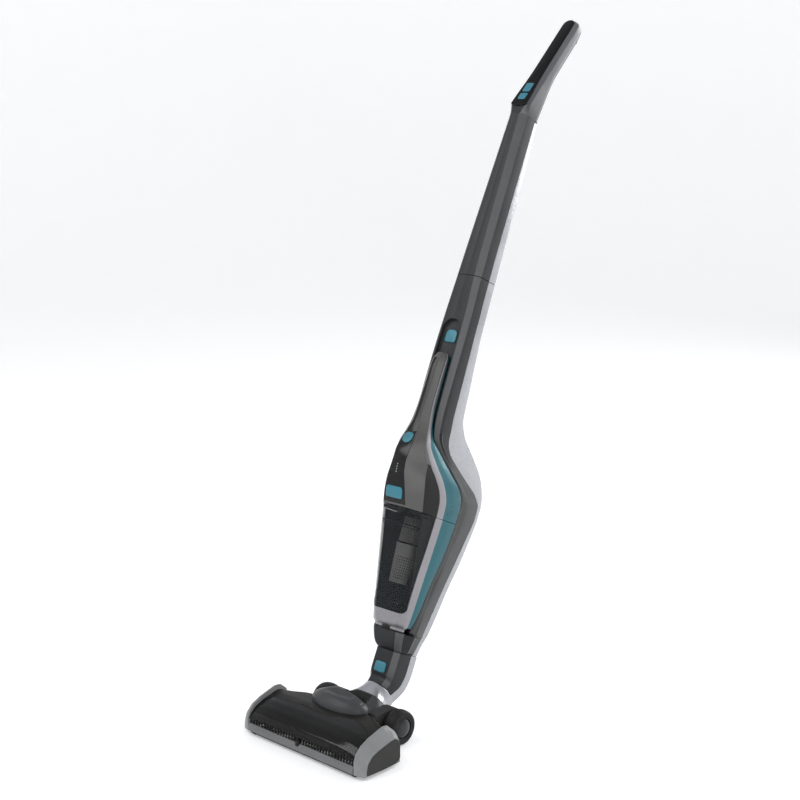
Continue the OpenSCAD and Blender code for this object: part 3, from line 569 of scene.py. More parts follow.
# %% [markdown]
# ## The chassis of the stick
# The long body is two mouldings that meet at a seam along each side: a dark front with a bevelled
# chamfer, and a bright silver spine. Low down it swells into a cradle for the hand vacuum. One way is a
# solid with the cradle cut out by a boolean, but that leaves ragged shading. Here the cradle is part of
# the section itself: the outline dips in from the lip to the cradle floor, and the dip shrinks to
# nothing above the slot.

# %% Measurements of the chassis
CUP = [  # height, then front corner, chamfer corner, crease, seam and back
    [102, 17, 12, 24, 19, 24, 34, 21.5, 51, 70],
    [107, 19.5, 6, 27, 14, 27.5, 34, 22, 53, 71],
    [118, 21.5, 0, 30, 8.5, 29.5, 34, 22.5, 56, 73],
    [137, 23, -7, 33, 3, 32, 35, 23.5, 60, 80],
]
CRADLE = [
    [137, 28, 21, 34.5, 24.5, 32, 36, 23.5, 60, 80],
    [170, 30, 26, 35, 29.5, 32, 39, 24, 66, 87],
    [215, 31, 31, 35.5, 34.5, 32.5, 47, 24.5, 75, 95],
    [262, 33, 41, 37.5, 44.5, 33.5, 56, 25, 86, 106],
    [305, 35, 44, 39, 47.5, 34, 64, 25, 96, 114],
    [335, 35.5, 44, 39.5, 47.5, 34, 67, 25, 102, 118],
    [352, 35, 42, 39, 45.5, 33.5, 66, 25, 101, 118],
    [368, 32, 32.5, 36.5, 36, 32, 49, 25.5, 86, 114],
    [384, 28, 11.5, 33.5, 15, 30.5, 27, 26, 54, 105],
    [400, 25.5, -10, 30.5, -6, 29, 4, 26.5, 22, 92],
    [416, 23, -30, 28, -26, 28, -18, 27, -5, 72],
    [432, 21.5, -45.5, 27.5, -40.5, 28, -33, 27, -15, 50],
    [450, 21, -50, 27.5, -44.5, 28, -37, 27.5, -18, 26],
    [475, 21, -52.5, 27.5, -46.5, 28, -40, 27.5, -21, 12],
    [520, 21, -54, 28, -47.5, 28, -40, 27.5, -23, 7],
    [560, 21, -54.5, 28, -47.5, 28, -40, 27.5, -25, 2],
    [616, 20, -54.5, 27, -47.5, 27, -40, 26.8, -27, -2.5],
    [688, 16.5, -55.5, 24.5, -47.5, 24.5, -40, 24.5, -27.5, -3],
    [958, 8.6, -52.5, 18, -43, 18, -38, 18, -22.5, -7],
]
HOLLOW = [  # cradle: wall x, wall t, floor half-width, floor t
    [137, 27.5, 19, 18, 22], [150, 28.5, 23, 20, 28], [168, 28.5, 28, 23, 34.2],
    [215, 29.5, 33, 24, 41.2], [262, 31.5, 42, 26, 50.2], [315, 33.5, 45, 28, 53.2],
    [337, 34, 45, 28.5, 53.2], [352, 33.3, 43, 28, 50.2], [368, 30.5, 33.5, 25, 42.2],
    [384, 26.5, 13, 21, 22.2], [400, 24, -8.5, 18.5, -1.8], [416, 21.5, -28.5, 17, -20.8],
    [432, 19.5, -42, 17, -35.8], [450, 17.5, -45, 17, -41.8], [480, 17.5, -47, 17, -43.8],
    [535, 17.5, -48, 17, -46.5], [560, 17.5, -49, 17, -48], [620, 17.5, -49, 17, -48],
]
SLOT_TOP = 616.5
SLOT_HALF = 17.5


def front_corners(s, table):
    r = station(table, s)
    return [(r[0], r[1]), (r[2], r[3]), (r[4], r[5]), (r[6], r[7])]


def hollow_corners(s):
    """Cradle and slot. The slot's round top is a half circle, so its half-width falls to nothing."""
    wall_x, wall_t, floor_x, floor_t = station(HOLLOW, s)
    start = SLOT_TOP - SLOT_HALF
    if s > start:
        half = math.sqrt(max(SLOT_HALF ** 2 - (s - start) ** 2, 0.0))
        wall_x, floor_x = half, max(half - 0.5, 0.0)
    return wall_x, wall_t, floor_x, floor_t


CORNERS = [0, 0.8, 0.8, 0.9, 0.9, 1.4, 3.0, 0.6, 0]


def cradle_ring(s):
    front, chamfer, crease, seam = front_corners(s, CRADLE)
    wall_x, wall_t, floor_x, floor_t = hollow_corners(s)
    lip_t = front[1]
    if s >= SLOT_TOP:
        wall_x, wall_t, floor_x, floor_t = 0.02, lip_t + 0.01, 0.01, lip_t + 0.01
    half = [(0, floor_t), (floor_x, floor_t), (wall_x, max(wall_t, lip_t + 0.01)), (wall_x, lip_t),
            front, chamfer, crease, seam, (0, seam[1])]
    return [stick(x, t, s) for x, t in both_sides(rounded(half, CORNERS))]


def cup_ring(s, shrink=0.0):
    front, chamfer, crease, seam = front_corners(s, CUP)
    f = 1 - shrink / 30
    half = [(0, front[1]), (front[0] * 0.3, front[1]), (front[0] * 0.6, front[1]),
            (front[0] * 0.8, front[1]),
            front, chamfer, crease, seam, (0, seam[1])]
    pts = rounded(half, [0, 1, 1, 1, 4.0, 2.5, 3.0, 0.6, 0])
    return [stick(x * f, 33 + (t - 33) * f, s) for x, t in both_sides(pts)]


# %% Dark front of the chassis, with the cup at its foot
def in_stick(point):
    """A point back in the stick's own millimetres: x, t and s."""
    y, z = (point.y - AXLE.y) / MM, (point.z - AXLE.z) / MM
    return (point.x / MM, y * math.cos(LEAN) - z * math.sin(LEAN),
            y * math.sin(LEAN) + z * math.cos(LEAN))


# painted highlight: picks the chamfer faces that get the lighter gunmetal
def on_lit_chamfer(centre, normal):
    x, t, s = in_stick(centre)
    front, chamfer, _, _ = front_corners(s, CUP if s < 137 else CRADLE)
    return front[0] - 0.4 < abs(x) and t < chamfer[1] + 1.0 and t > front[1] - 0.4 and s < 975


slot_top_rings = [SLOT_TOP - SLOT_HALF * (1 - math.sin(math.radians(a))) for a in range(0, 91, 6)]
lower_heights = heights_between(132.1, 440, 3.5) + heights_between(443, 596, 6)
lower_heights += [h for h in slot_top_rings if h > 597] + [SLOT_TOP + 0.2] + heights_between(622, 687.4, 8)
rings = [cup_ring(102.2, 0.8)] + [cup_ring(s) for s in heights_between(103, 131.2,
                                                                       3)] + [cup_ring(131.7, 0.5)]
rings += [cradle_ring(s) for s in lower_heights]
lower_front = loft("lower_chassis_shell", rings, smooth_angle=35)
fitted(lower_front, "stick", "gunmetal", [GUNMETAL, GUNMETAL_LIT_CHAMFER, SHADED_SIDE_BLACK, CREASE_HIGHLIGHT], "lower_chassis")


def beside_cradle(point):
    """How far a point on the chassis side lies in front of the crease, and whether it is on that side."""
    x, t, s = in_stick(point)
    front, chamfer, crease, _ = front_corners(s, CUP if s < 137 else CRADLE)
    return crease[1] - t, abs(x) > min(front[0], crease[0]) - 1.5 and t > chamfer[1] + 1.0 and s < 440


# painted shade: the lower chassis side ahead of the crease is painted near black
def on_shaded_side(centre, normal):
    ahead, beside = beside_cradle(centre)
    return beside and ahead > 0


# painted highlight: the narrow strip of faces along the crease
def on_crease_highlight(centre, normal):
    ahead, beside = beside_cradle(centre)
    return beside and abs(ahead) < 0.7


print("chamfer faces:", paint_faces(lower_front, 1, on_lit_chamfer))
print("black side faces:", paint_faces(lower_front, 2, on_shaded_side))
print("crease faces:", paint_faces(lower_front, 3, on_crease_highlight))

# %% [markdown]
# The upper tube repeats the same section without the cradle, and its chamfers get a lighter copy of the
# gunmetal as a painted highlight. The handle shell starts from the tube's own last section and bends back over
# it.

# %% Upper tube and its spine
upper_tube = loft("upper_tube_shell", [cradle_ring(s) for s in heights_between(688.4, 957.6, 6)])
fitted(upper_tube, "stick", "gunmetal", [GUNMETAL, GUNMETAL_LIT_CHAMFER], "upper_tube")
# painted highlight: the tube's chamfers get the lighter gunmetal
paint_faces(upper_tube, 1, on_lit_chamfer)


def spine_ring(s, table=CRADLE):
    r = station(table, s)
    x, seam_t, back_t = r[6], r[7] + 0.4, r[8]
    half = [(0, seam_t), (x - 2.6, seam_t), (x, seam_t), (x - 1.2, back_t - 7), (x * 0.6, back_t),
            (0, back_t + 0.6)]
    return [stick(a, t, s) for a, t in both_sides(rounded(half, [0, 0.3, 0.7, 4, 6, 0], 5))]


def spine_piece(name, parts):
    rings = []
    for table, low, high in parts:
        rings += [spine_ring(s, table) for s in heights_between(low, high, 4)]
    return loft(name, rings, smooth_angle=35)


lower_spine = spine_piece("lower_spine_shell", [(CUP, 102.2, 136), (CRADLE, 137.5, 687.4)])
fitted(lower_spine, "stick", "silver", SILVER, "lower_spine")
upper_spine = spine_piece("upper_spine_shell", [(CRADLE, 688.4, 954)])
fitted(upper_spine, "stick", "silver", SILVER, "upper_spine")

# %% [markdown]
# The handle is a shell with a flat black plate let into its front. Low down the plate is nearly as wide
# as the tube and ends in a shallow curve at the kink; higher up it narrows and runs to the rounded tip.

# %% Handle shell
GRIP_ROWS = [  # height, plate half-width, side half-width, depth
    [4, 15.5, 18, 46.5], [30, 14, 17.5, 41], [55, 12, 17, 35.5], [85, 11.2, 16.8, 31],
    [165, 11, 17, 29.5], [181, 10.5, 16, 28], [187, 8, 12.5, 24],
]
PLATE = 1.6


def grip_ring(h, f=1.0):
    plate, side, deep = station(GRIP_ROWS, h)
    half = [(0, PLATE), (plate - 1.5, PLATE), (plate + 0.4, PLATE), (side, 7), (side, deep - 12),
            (side * 0.72, deep - 3), (0, deep)]
    pts = rounded(half, [0, 0.4, 1.0, 4, 3.5, 7, 0], 5)
    mid = deep / 2
    return [handle(x * f, mid + (p - mid) * f, h) for x, p in both_sides(pts)]


def base_ring(s):
    r = station(CRADLE, s)
    half = [(0, r[1]), (r[0] - 1.5, r[1]), (r[0], r[1]), (r[2], r[3]), (r[2], r[8] - 11.5),
            (r[2] * 0.72, r[8] - 2.5), (0, r[8] + 0.4)]
    pts = rounded(half, [0, 0.4, 1.0, 1.0, 3.5, 7, 0], 5)
    return [stick(x, t, s) for x, t in both_sides(pts)]


def between_rings(a, b, f):
    return [p * (1 - f) + q * f for p, q in zip(a, b)]


tube_end, grip_start = base_ring(957.9), grip_ring(4)
kink = [between_rings(tube_end, grip_start, f) for f in (0.25, 0.5, 0.75)]
tip = [(182, 1.0), (184.5, 0.985), (186.2, 0.96), (187, 0.9), (187.6, 0.8)]
rings = [tube_end] + kink + [grip_ring(h) for h in heights_between(4, 180, 5)]
rings += [grip_ring(h, f) for h, f in tip]
handle_shell = loft("handle_shell_skin", rings, smooth_angle=30)


def handle_finish():
    """Grey paint that lightens from the tube's shade to the grip's, up the first hand's width."""
    mat = finish("handle_grey_fade", (0.1, 0.1, 0.106), rough=0.3, metal=0.4, flake=0.3, depth=0.03)
    tree = mat.node_tree
    shader = tree.nodes["Principled BSDF"]
    light = shader.inputs["Base Color"].links[0].from_socket
    where = add(tree, "ShaderNodeTexCoord")
    height = add(tree, "ShaderNodeSeparateXYZ")
    ramp = add(tree, "ShaderNodeMapRange", interpolation_type="SMOOTHSTEP")
    ramp.inputs["From Min"].default_value = stick(0, -30, 950).z
    ramp.inputs["From Max"].default_value = stick(0, -30, 1050).z
    tree.links.new(where.outputs["Object"], height.inputs[0])
    tree.links.new(height.outputs["Z"], ramp.inputs["Value"])
    dark = blend_colour(tree, ramp.outputs["Result"], (0.05, 0.051, 0.054), light)
    tree.links.new(dark, shader.inputs["Base Color"])
    return mat


HANDLE_GREY = handle_finish()
fitted(handle_shell, "stick", "handle_grey", [HANDLE_GREY, GUNMETAL], "handle_shell")


def on_tube_front(centre, normal):
    x, t, s = in_stick(centre)
    return s < 973 and t < -50 and abs(x) < 9.5


paint_faces(handle_shell, 1, on_tube_front)

# %% Black plate of the handle, its two buttons and the bumper
def plate_outline():
    """x and h of the plate: a shallow curve at the kink, narrowing sides and a rounded tip."""
    heights = [1.2, 2.2, 4] + heights_between(7, 181, 6)
    side = [(station(GRIP_ROWS, h)[0] - 0.25 - (1.2 if h < 2 else 0.3 if h < 3 else 0), h) for h in heights]
    bottom = [(x, -1.2 + 1.9 * (x / 14.0) ** 2) for x in (-12, -8, -4, 0, 4, 8, 12)]
    top = [(9.2 * math.cos(math.radians(a)), 181 + 6.5 * math.sin(math.radians(a))) for a in range(12,
                                                                                                   169, 12)]
    left = [(-x, h) for x, h in reversed(side)]
    return bottom + side + top + left


def on_plate(x, h, z):
    return handle(x, -z, h)


def flat_plate(name, outline, place, low, high, edge=0.35):
    """A long flat piece with a rolled edge, its face closed by one flat polygon."""
    pts = np.array(outline)
    way = np.gradient(np.vstack([pts[-1:], pts, pts[:1]]), axis=0)[1:-1]
    normal = np.stack([way[:, 1], -way[:, 0]], axis=1)
    normal /= np.linalg.norm(normal, axis=1)[:, None]
    levels = [(0, low), (0, high - edge), (edge * 0.3, high - edge * 0.3), (edge, high)]
    rings = [[place(*(p - n * inset), z) for p, n in zip(pts, normal)] for inset, z in levels]
    return loft(name, rings, smooth_angle=50)


grip = flat_plate("grip_plate_face", plate_outline(), on_plate, -PLATE + 0.05, 0.0)


def button_frame(name, outer, inner, place, low, high):
    """The narrow dark frame round a button: a ring that stands a little proud of the shell."""
    levels = [(outer, low), (outer, high), (inner, high), (inner, low), (outer, low)]
    return loft(name, [[place(x, y, z) for x, y in outline] for outline, z in levels], caps=False)


def well(outline, place, low, high):
    return loft("tool", [[place(x, y, z) for x, y in outline] for z in (low, high)])


POWER_OUT = corner_outline(7.7, 27.0, 46.2, 2.5, 3.5)
BOOST_OUT = corner_outline(7.7, 10.3, 24.2, 4.0, 2.0)
WELL_LOW, WELL_HIGH = -PLATE - 0.6, 2
cut(grip, well(POWER_OUT, on_plate, WELL_LOW, WELL_HIGH), well(BOOST_OUT, on_plate, WELL_LOW, WELL_HIGH))
fitted(grip, "stick", "grip_black", GRIP, "grip_plate")
power = slab("power_button_cap", corner_outline(7.3, 27.4, 45.8, 2.2, 3.2), on_plate, 0.22, 0.95, 0.55,
             0.35)
fitted(power, "power_button", "button_teal", BUTTON, "power_button")
boost = slab("boost_button_cap", corner_outline(7.3, 10.7, 23.8, 3.7, 1.8), on_plate, 0.22, 0.95, 0.55, 0.3)
fitted(boost, "boost_button", "button_teal", BUTTON, "boost_button")


def bumper_ring(x, f=1.0):
    pts = [(27, 161), (30, 162), (32, 165), (32.4, 168), (32, 171), (30, 174), (27, 175)]
    mid = np.array((28, 168))
    return [handle(x, *(mid + (np.array(q) - mid) * f)) for q in rounded(pts, [0, 2, 3, 3, 3, 2, 0])]


bumper = loft("wall_bumper_pad",
              [bumper_ring(-7, 0.7), bumper_ring(-6.2, 0.95), bumper_ring(-5), bumper_ring(0),
                                  bumper_ring(5), bumper_ring(6.2, 0.95), bumper_ring(7, 0.7)])
fitted(bumper, "stick", "rubber", RUBBER, "wall_bumper")

# %% [markdown]
# ## The hand vacuum
# Its body is one long shape cut into several shells: a black front panel with a lighter facet beside it,
# a silver trim line, a teal band that tapers away up the handle, and below the split a smoked bowl held
# in a silver nose. All are strips of the same sections, so they meet exactly and only need thin joints.

# %% Measurements of the hand vacuum
VAC = [  # height, front edge, chamfer corner, trim, band, rear edge, back
    [138, 18, -3, 29, 2, 4, 6, 12, 22, 14],
    [142, 21, -7, 32.5, 0, 4, 7, 17, 23, 19],
    [152, 23, -10.5, 34, -2, -3, 7, 20.5, 25.5, 27],
    [168, 24, -17, 35, -7, -7, 7, 24, 27, 33],
    [215, 26, -31, 36.5, -19, -9, 7.5, 30, 28, 40],
    [262, 25, -47, 38, -30, -8, 8, 39.5, 30, 49],
    [315, 23, -65, 40, -44, -9, 7, 42.8, 32, 52],
    [337, 21, -73.5, 40.5, -51, -12, 5, 42.8, 32.5, 52],
    [352, 18, -78, 40, -55, -18, -1, 40.5, 32, 49],
    [368, 15, -82, 37.5, -57, -30, -11, 31, 29, 41],
    [384, 13.5, -83, 34, -56, -45, -26, 10, 25, 21],
    [400, 14, -82, 30, -63, -56, -41, -11.5, 22.5, -3],
    [416, 13, -77.5, 26, -66, -63, -52, -31.5, 19.5, -22],
    [432, 10.5, -73, 21.5, -64, -62, -54, -47, 17, -37],
    [450, 6.5, -71, 17.5, -62.5, -61, -54, -51.5, 15.5, -43],
    [480, 5.5, -70, 14, -63, -61, -53, -49, 12.5, -45],
    [535, 5.5, -69, 13, -62, -60, -53.5, -50, 11.5, -47],
    [552, 5.5, -66, 12, -60, -58, -54, -51, 10.5, -48],
    [560, 4, -61, 8.5, -58, -57, -54.5, -52, 7, -50],
]
NOSE = 160


def vac_points(s):
    """Corner points of the hand vacuum's half section at height s, from the middle of the front round."""
    front_x, front_t, side_x, side_t, trim_t, band_t, rear_t, back_x, back_t = station(VAC, s)
    trim_t = max(trim_t, side_t + 0.4)
    return {"front": (front_x, front_t), "side": (side_x, side_t), "trim": (side_x, trim_t),
            "band": (side_x, band_t), "rear": (side_x, rear_t), "hip": (back_x, rear_t + 0.3),
            "back": (back_x - 5, back_t)}


def front_path(s, lift=0.0):
    v = vac_points(s)
    fx, ft = v["front"]
    sx, st = v["side"]
    half = [(0, ft - 0.6 - lift), (fx * 0.5, ft - 0.4 - lift), (fx, ft - lift), (sx + lift, st),
            (sx + lift, v["trim"][1])]
    return both_sides(rounded(half, [0, 6, 2.2, 2.2, 0], 5))


def skin_ring(path, s, wall):
    return [stick(x, t, s) for x, t in thickened(path, wall)]


vac_shell = loft("vac_shell_skin",
                 [skin_ring(front_path(s), s, 2.0) for s in heights_between(315.4, 559.6, 4)])
fitted(vac_shell, "hand_vac", "body_grey", [BODY_GREY, SHADED_SIDE_BLACK], "vac_shell")


# painted shade: the lower sides of the hand vacuum's shell are painted near black
def on_shaded_vac_side(centre, normal):
    x, t, s = in_stick(centre)
    return t > vac_points(s)["side"][1] + 0.6 and abs(x) > 20 and s < 389


paint_faces(vac_shell, 1, on_shaded_vac_side)

# %% Black front panel
def panel_path(s):
    fx, ft = vac_points(s)["front"]
    reach = fx - 0.4
    return both_sides(rounded([(0, ft - 1.0), (reach * 0.5, ft - 0.8), (reach, ft - 0.4)], [0, 6, 0], 5))


def panel_ring(s, f=1.0):
    pts = [(x * f, t) for x, t in thickened(panel_path(s), 1.2)]
    return [stick(x, t, s) for x, t in pts]


def face_on(s_mid, t_mid, tip):
    """A place on the sloping front: x across, y up the surface, z out of it."""
    up = math.radians(90 + tip)
    def place(x, y, z):
        t = t_mid + y * math.cos(up) - z * math.sin(up)
        s = s_mid + y * math.sin(up) + z * math.cos(up)
        return stick(x, t, s)
    return place


on_switch = face_on(418, -77.4, -20)
on_bowl_button = face_on(334, -72.6, 20)
panel = loft("front_panel_face",
             [panel_ring(318.2, 0.97)] + [panel_ring(s) for s in heights_between(319, 549, 4)]
             + [panel_ring(550, 0.9)])
fitted(panel, "hand_vac", "panel_black", PANEL, "front_panel")
track = flat_plate("power_switch_track", corner_outline(9.3, -9.4, 19.0, 8.0, 6.5), on_switch, -3.0,
                   1.1, 0.4)
fitted(track, "hand_vac", "dark_plastic", DARK)
bowl_rim = button_frame("bowl_button_rim", corner_outline(17.2, -9.9, 9.9, 3.5, 5.5),
                        corner_outline(16.5, -9.2, 9.2, 3.1, 5.1), on_bowl_button, -3.0, 0.7)
fitted(bowl_rim, "hand_vac", "dark_plastic", DARK)
switch = slab("power_switch_cap", corner_outline(8.9, -9.2, 9.6, 8.2, 7.0), on_switch, -2.5, 2.6, 1.2, 0.5)
fitted(switch, "power_switch", "button_teal", BUTTON)
ribs = [slab("rib", corner_outline(5.4, y - 0.5, y + 0.5, 0.5, 0.5), on_switch, 2.5, 3.4, 0.4)
        for y in (-3.2, 0, 3.2)]
fitted(joined("power_switch_ribs", ribs), "power_switch", "button_teal", BUTTON, "power_switch")
bowl_button = slab("bowl_release_cap", corner_outline(16.3, -9.0, 9.0, 3.0, 5.0), on_bowl_button,
                   -2.0, 2.6, 1.3, 0.7)
fitted(bowl_button, "bowl_release", "button_teal", BUTTON, "bowl_release")


def led_profile():
    return [(0.01, 0.7), (0.35, 0.6), (0.6, 0.3), (0.62, -0.5), (0.01, -0.5)]


def on_panel(s):
    t = station(VAC, s)[1] - 1.0
    return stick(0, t, s)


out_of_panel = stick(0, -1, 0) - stick(0, 0, 0)
leds = [lathe("led", led_profile(), on_panel(363.5 + 4 * k), out_of_panel, steps=20) for k in range(4)]
fitted(joined("led_lens_row", leds), "hand_vac", "light", LIGHT, "led_lenses")

# %% Silver trims and teal bands, above and below the split
def side_strip(s, corners, radii, wall, steps=4):
    """A closed ring for a strip down one side, from its outer corners."""
    path = thickened(rounded(corners, radii, steps), wall)
    return [stick(x, t, s) for x, t in path]


def mirrored(rings):
    return [[Vector((-p.x, p.y, p.z)) for p in ring] for ring in rings]


def pair(name, rings):
    return joined(name, [loft("right", rings), loft("left", mirrored(rings))])


def trim_corners(s):
    v = vac_points(s)
    x, low, high = v["trim"][0], v["trim"][1], v["band"][1]
    return [(x - 0.6, low + 0.15), (x + 0.7, low + 0.9), (x + 0.7, high - 0.9), (x - 0.3, high - 0.15)]


def trim_pair(name, low, high):
    rings = [side_strip(s, trim_corners(s), [0, 0.8, 0.8, 0], 1.8) for s in heights_between(low, high, 4)]
    return pair(name, rings)


fitted(trim_pair("upper_trim_strips", 315.4, 559), "hand_vac", "trim_silver", TRIM, "upper_trim")


def band_path(s):
    v = vac_points(s)
    x = v["band"][0]
    low, high = v["band"][1] + 0.1, v["rear"][1]
    crown = min(0.04 * (high - low), 1.2)
    half = [(x, low), (x - 0.15 * crown, low + 0.45 * (high - low)), (x - crown, high), v["hip"], v["back"],
            (0, v["back"][1] + 0.8)]
    return both_sides(list(reversed(rounded(half, [0, 14, 7, 2.0, 6, 0], 5))))


def band_ring(s):
    return [stick(x, t, s) for x, t in thickened(band_path(s), -2.0)]


upper_band = loft("upper_band_shell", [band_ring(s) for s in heights_between(315.4, 557.5, 4)])
fitted(upper_band, "hand_vac", "teal", TEAL, "upper_band")
lower_band = loft("lower_band_shell", [band_ring(s) for s in heights_between(141.5, 314.6, 3.5)])
fitted(lower_band, "hand_vac", "teal", TEAL, "lower_band")

# %% [markdown]
# The nose is silver and cradles the bowl: its upper edge is level across the front and curves up at each
# side to run into the trim. A boolean could round those two corners, but it is simpler to let the silver
# strip start further forward along the section the lower down it is, following a quarter circle. A thin
# dark gasket fills the joint between the nose and the cup.

# %% Nose frame
CORNER_RISE = 13.0


def partial(path, share_from, share_to, count):
    """The part of an outline between two shares of its length, as evenly spaced points."""
    pts = np.array(path)
    run = np.concatenate([[0], np.cumsum(np.linalg.norm(np.diff(pts, axis=0), axis=1))])
    wanted = np.linspace(share_from, share_to, count) * run[-1]
    return np.stack([np.interp(wanted, run, pts[:, 0]), np.interp(wanted, run, pts[:, 1])], axis=1)


def nose_half(s):
    v = vac_points(s)
    fx, ft = v["front"]
    sx, st = v["side"]
    half = [(0, ft - 0.9), (fx * 0.5, ft - 0.7), (fx, ft - 0.3), (sx + 0.5, st), (sx + 0.6, v["trim"][1]),
            (sx + 0.6, v["band"][1])]
    return rounded(half, [0, 6, 5, 4, 1, 0], 5)


def nose_ring(s, wall=2.0, shrink=1.0):
    """From the trim to where the bowl's rounded lower corner begins, at height s."""
    v = vac_points(s)
    half = nose_half(s)
    pts = np.array(half)
    length = np.linalg.norm(np.diff(pts, axis=0), axis=1).sum()
    below = max(NOSE + CORNER_RISE - s, 0.0)
    corner = CORNER_RISE - math.sqrt(max(CORNER_RISE ** 2 - below ** 2, 0.0))
    start = length - (v["band"][1] - v["trim"][1] + 0.4) - corner
    side = partial(half, start / length, 1.0, 26)
    return [stick(x * shrink, t, s) for x, t in thickened(side, wall)]


def nose_front_ring(s, f=1.0):
    half = partial(nose_half(s), 0, 1, 30)
    path = both_sides([(x * f, 8 + (t - 8) * f) for x, t in half])
    return [stick(x, t, s) for x, t in thickened(path, 2.0)]


chin = loft("chin", [nose_front_ring(133.8, 0.985), nose_front_ring(135, 0.995)]
            + [nose_front_ring(s) for s in heights_between(138, NOSE, 2.5)])
corner_heights = [NOSE + CORNER_RISE * (1 - math.cos(math.radians(a))) for a in range(0, 91, 5)]
cheeks = [nose_ring(s) for s in corner_heights]
cheeks += [nose_ring(s) for s in heights_between(NOSE + CORNER_RISE + 3, 314.6, 4)]
cheek_right = loft("cheek_right", cheeks)
cheek_left = loft("cheek_left", mirrored(cheeks))
nose_floor = slab("nose_floor", corner_outline(19, 0, 19, 9, 8), stick, 134, 136.6, 0.6)
GASKET_HEIGHTS = (131.9, 132.7, 133.5, 134.2)
gasket = loft("nose_gasket", [nose_front_ring(s, 1.005) for s in GASKET_HEIGHTS])
fitted(gasket, "hand_vac", "rubber", RUBBER)
nose = joined("nose_frame_shell", [chin, cheek_right, cheek_left, nose_floor])
fitted(nose, "hand_vac", "trim_silver", TRIM, "nose_frame")

# %% [markdown]
# The dust bowl is smoked clear plastic, and what shows through it matters: a perforated screen low down,
# the pleated filter above it and three thin rims near the split. The screen is a real cone of faces with
# holes left out, thickened afterwards, which catches light where a painted pattern would not.

# %% Dust bowl, its rims, screen and filter
def bowl_ring(s, inset=0.0):
    path = np.array(front_path(s, lift=-0.15 - inset))
    return [stick(x, t, s) for x, t in thickened(path, 1.8)]


bowl = loft("dust_bowl_clear", [bowl_ring(s) for s in heights_between(153, 314.7, 4)])
fitted(bowl, "hand_vac", "smoke", SMOKE, "dust_bowl")


def rim_ring(s, inset, wall):
    path = np.array(front_path(s, lift=-inset))
    return [stick(x, t, s) for x, t in thickened(path, wall)]


def inner_rim(name, low, high, inset=1.9):
    return loft(name, [rim_ring(s, inset, 2.4) for s in heights_between(low, high, 1.2)])


rims = joined("bowl_rims",
              [inner_rim("rim", 309.5, 313.8), inner_rim("rim", 290.5, 292.6),
               inner_rim("rim", 287.0, 288.0)])
fitted(rims, "hand_vac", "dark_plastic", [DARK])



def liner_ring(s):
    """The dark back and side walls of the bowl, just inside the clear shell and the teal band."""
    v = vac_points(s)
    x = v["side"][0] - 2.4
    half = [(0, v["back"][1] - 3.0), (v["back"][0] - 3, v["back"][1] - 3.6),
            (v["hip"][0] - 3, v["hip"][1] - 2.5),
            (x, v["rear"][1] - 2), (x, v["side"][1] + 3)]
    return [stick(a, t, s) for a, t in thickened(both_sides(rounded(half, [0, 4, 3, 4, 0], 5)), 0.6)]


liner = loft("bowl_back_liner", [liner_ring(s) for s in heights_between(158, 308, 5)])
fitted(liner, "hand_vac", "dark_plastic", DARK)

CORE_T = -6


def along_core(s):
    return stick(0, CORE_T, s)


UP_STICK = stick(0, 0, 1) - stick(0, 0, 0)
ACROSS = Vector((1, 0, 0))
BACK = UP_STICK.cross(ACROSS).normalized() * -1


def on_core(radius, angle, s):
    a = math.radians(angle)
    return along_core(s) + (ACROSS * math.cos(a) + BACK * math.sin(a)) * radius * MM


def perforated_screen():
    """Cone of narrow rows; every other face in every other row is left out as a hole."""
    around, rows = 56, 31
    verts, faces = [], []
    for k in range(rows):
        s = 204 + 60 * k / (rows - 1)
        radius = 13.2 + 5.2 * k / (rows - 1)
        for i in range(around):
            verts.append(on_core(radius, 360 * i / around, s))
    for k in range(rows - 1):
        for i in range(around):
            hole = k % 2 == 1 and i % 2 == 1 and 2 < k < rows - 10
            if not hole:
                j = (i + 1) % around
                faces.append([k * around + i, k * around + j, (k + 1) * around + j, (k + 1) * around + i])
    base = len(verts)
    verts.append(along_core(204))
    faces += [[base, (i + 1) % around, i] for i in range(around)]
    piece = new_object("mesh_screen_cone", verts, faces, 60)
    wall = piece.modifiers.new("wall", "SOLIDIFY")
    wall.thickness = 0.8 * MM
    wall.offset = -1
    return piece


fitted(perforated_screen(), "hand_vac", "mesh", MESH_GREY, "mesh_screen")
# painted shade: a dark cone inside the screen so that its holes show dark, as the shaded inside would
shade_cone = lathe("screen_shade_cone", [(0.01, 0), (10.5, 0), (11.5, 1), (15.5, 59), (0.01, 59), (0.01, 0)],
                 along_core(205), UP_STICK, steps=48)
fitted(shade_cone, "hand_vac", "dark_plastic", DARK)


def pleated_filter():
    """A felt cup folded into pleats. Its moulded rim is built separately, as the flange."""
    pleats, around = 30, 240
    rings = []
    for s, f in ((266.2, 0.86), (267, 0.97), (268.5, 1.0), (290, 1.0), (303, 1.0), (305.5, 0.97)):
        ring = []
        for i in range(around):
            fold = 0.5 + 0.5 * math.cos(2 * math.pi * pleats * i / around)
            ring.append(on_core((15.3 + 2.1 * fold) * f, 360 * i / around, s))
        rings.append(ring)
    return loft("filter_pleats", rings, smooth_angle=60)


fitted(pleated_filter(), "hand_vac", "filter_white", FELT, "filter")
flange_profile = [(18, 0), (25.2, 0), (25.9, 0.6), (25.9, 3.4), (25.2, 4), (18, 4), (18, 0)]
fitted(lathe("filter_flange", flange_profile, along_core(306), UP_STICK), "hand_vac", "dark_plastic", DARK)

# %% [markdown]
# ## Neck, collar and release buttons
# The neck carries the section of the stick down and forwards in a gentle bend, and plugs into a silver
# collar whose sides flare out to the two wheel arms. Its sections tilt as they go, so the rings are
# placed by their own angle instead of lying square across the stick.

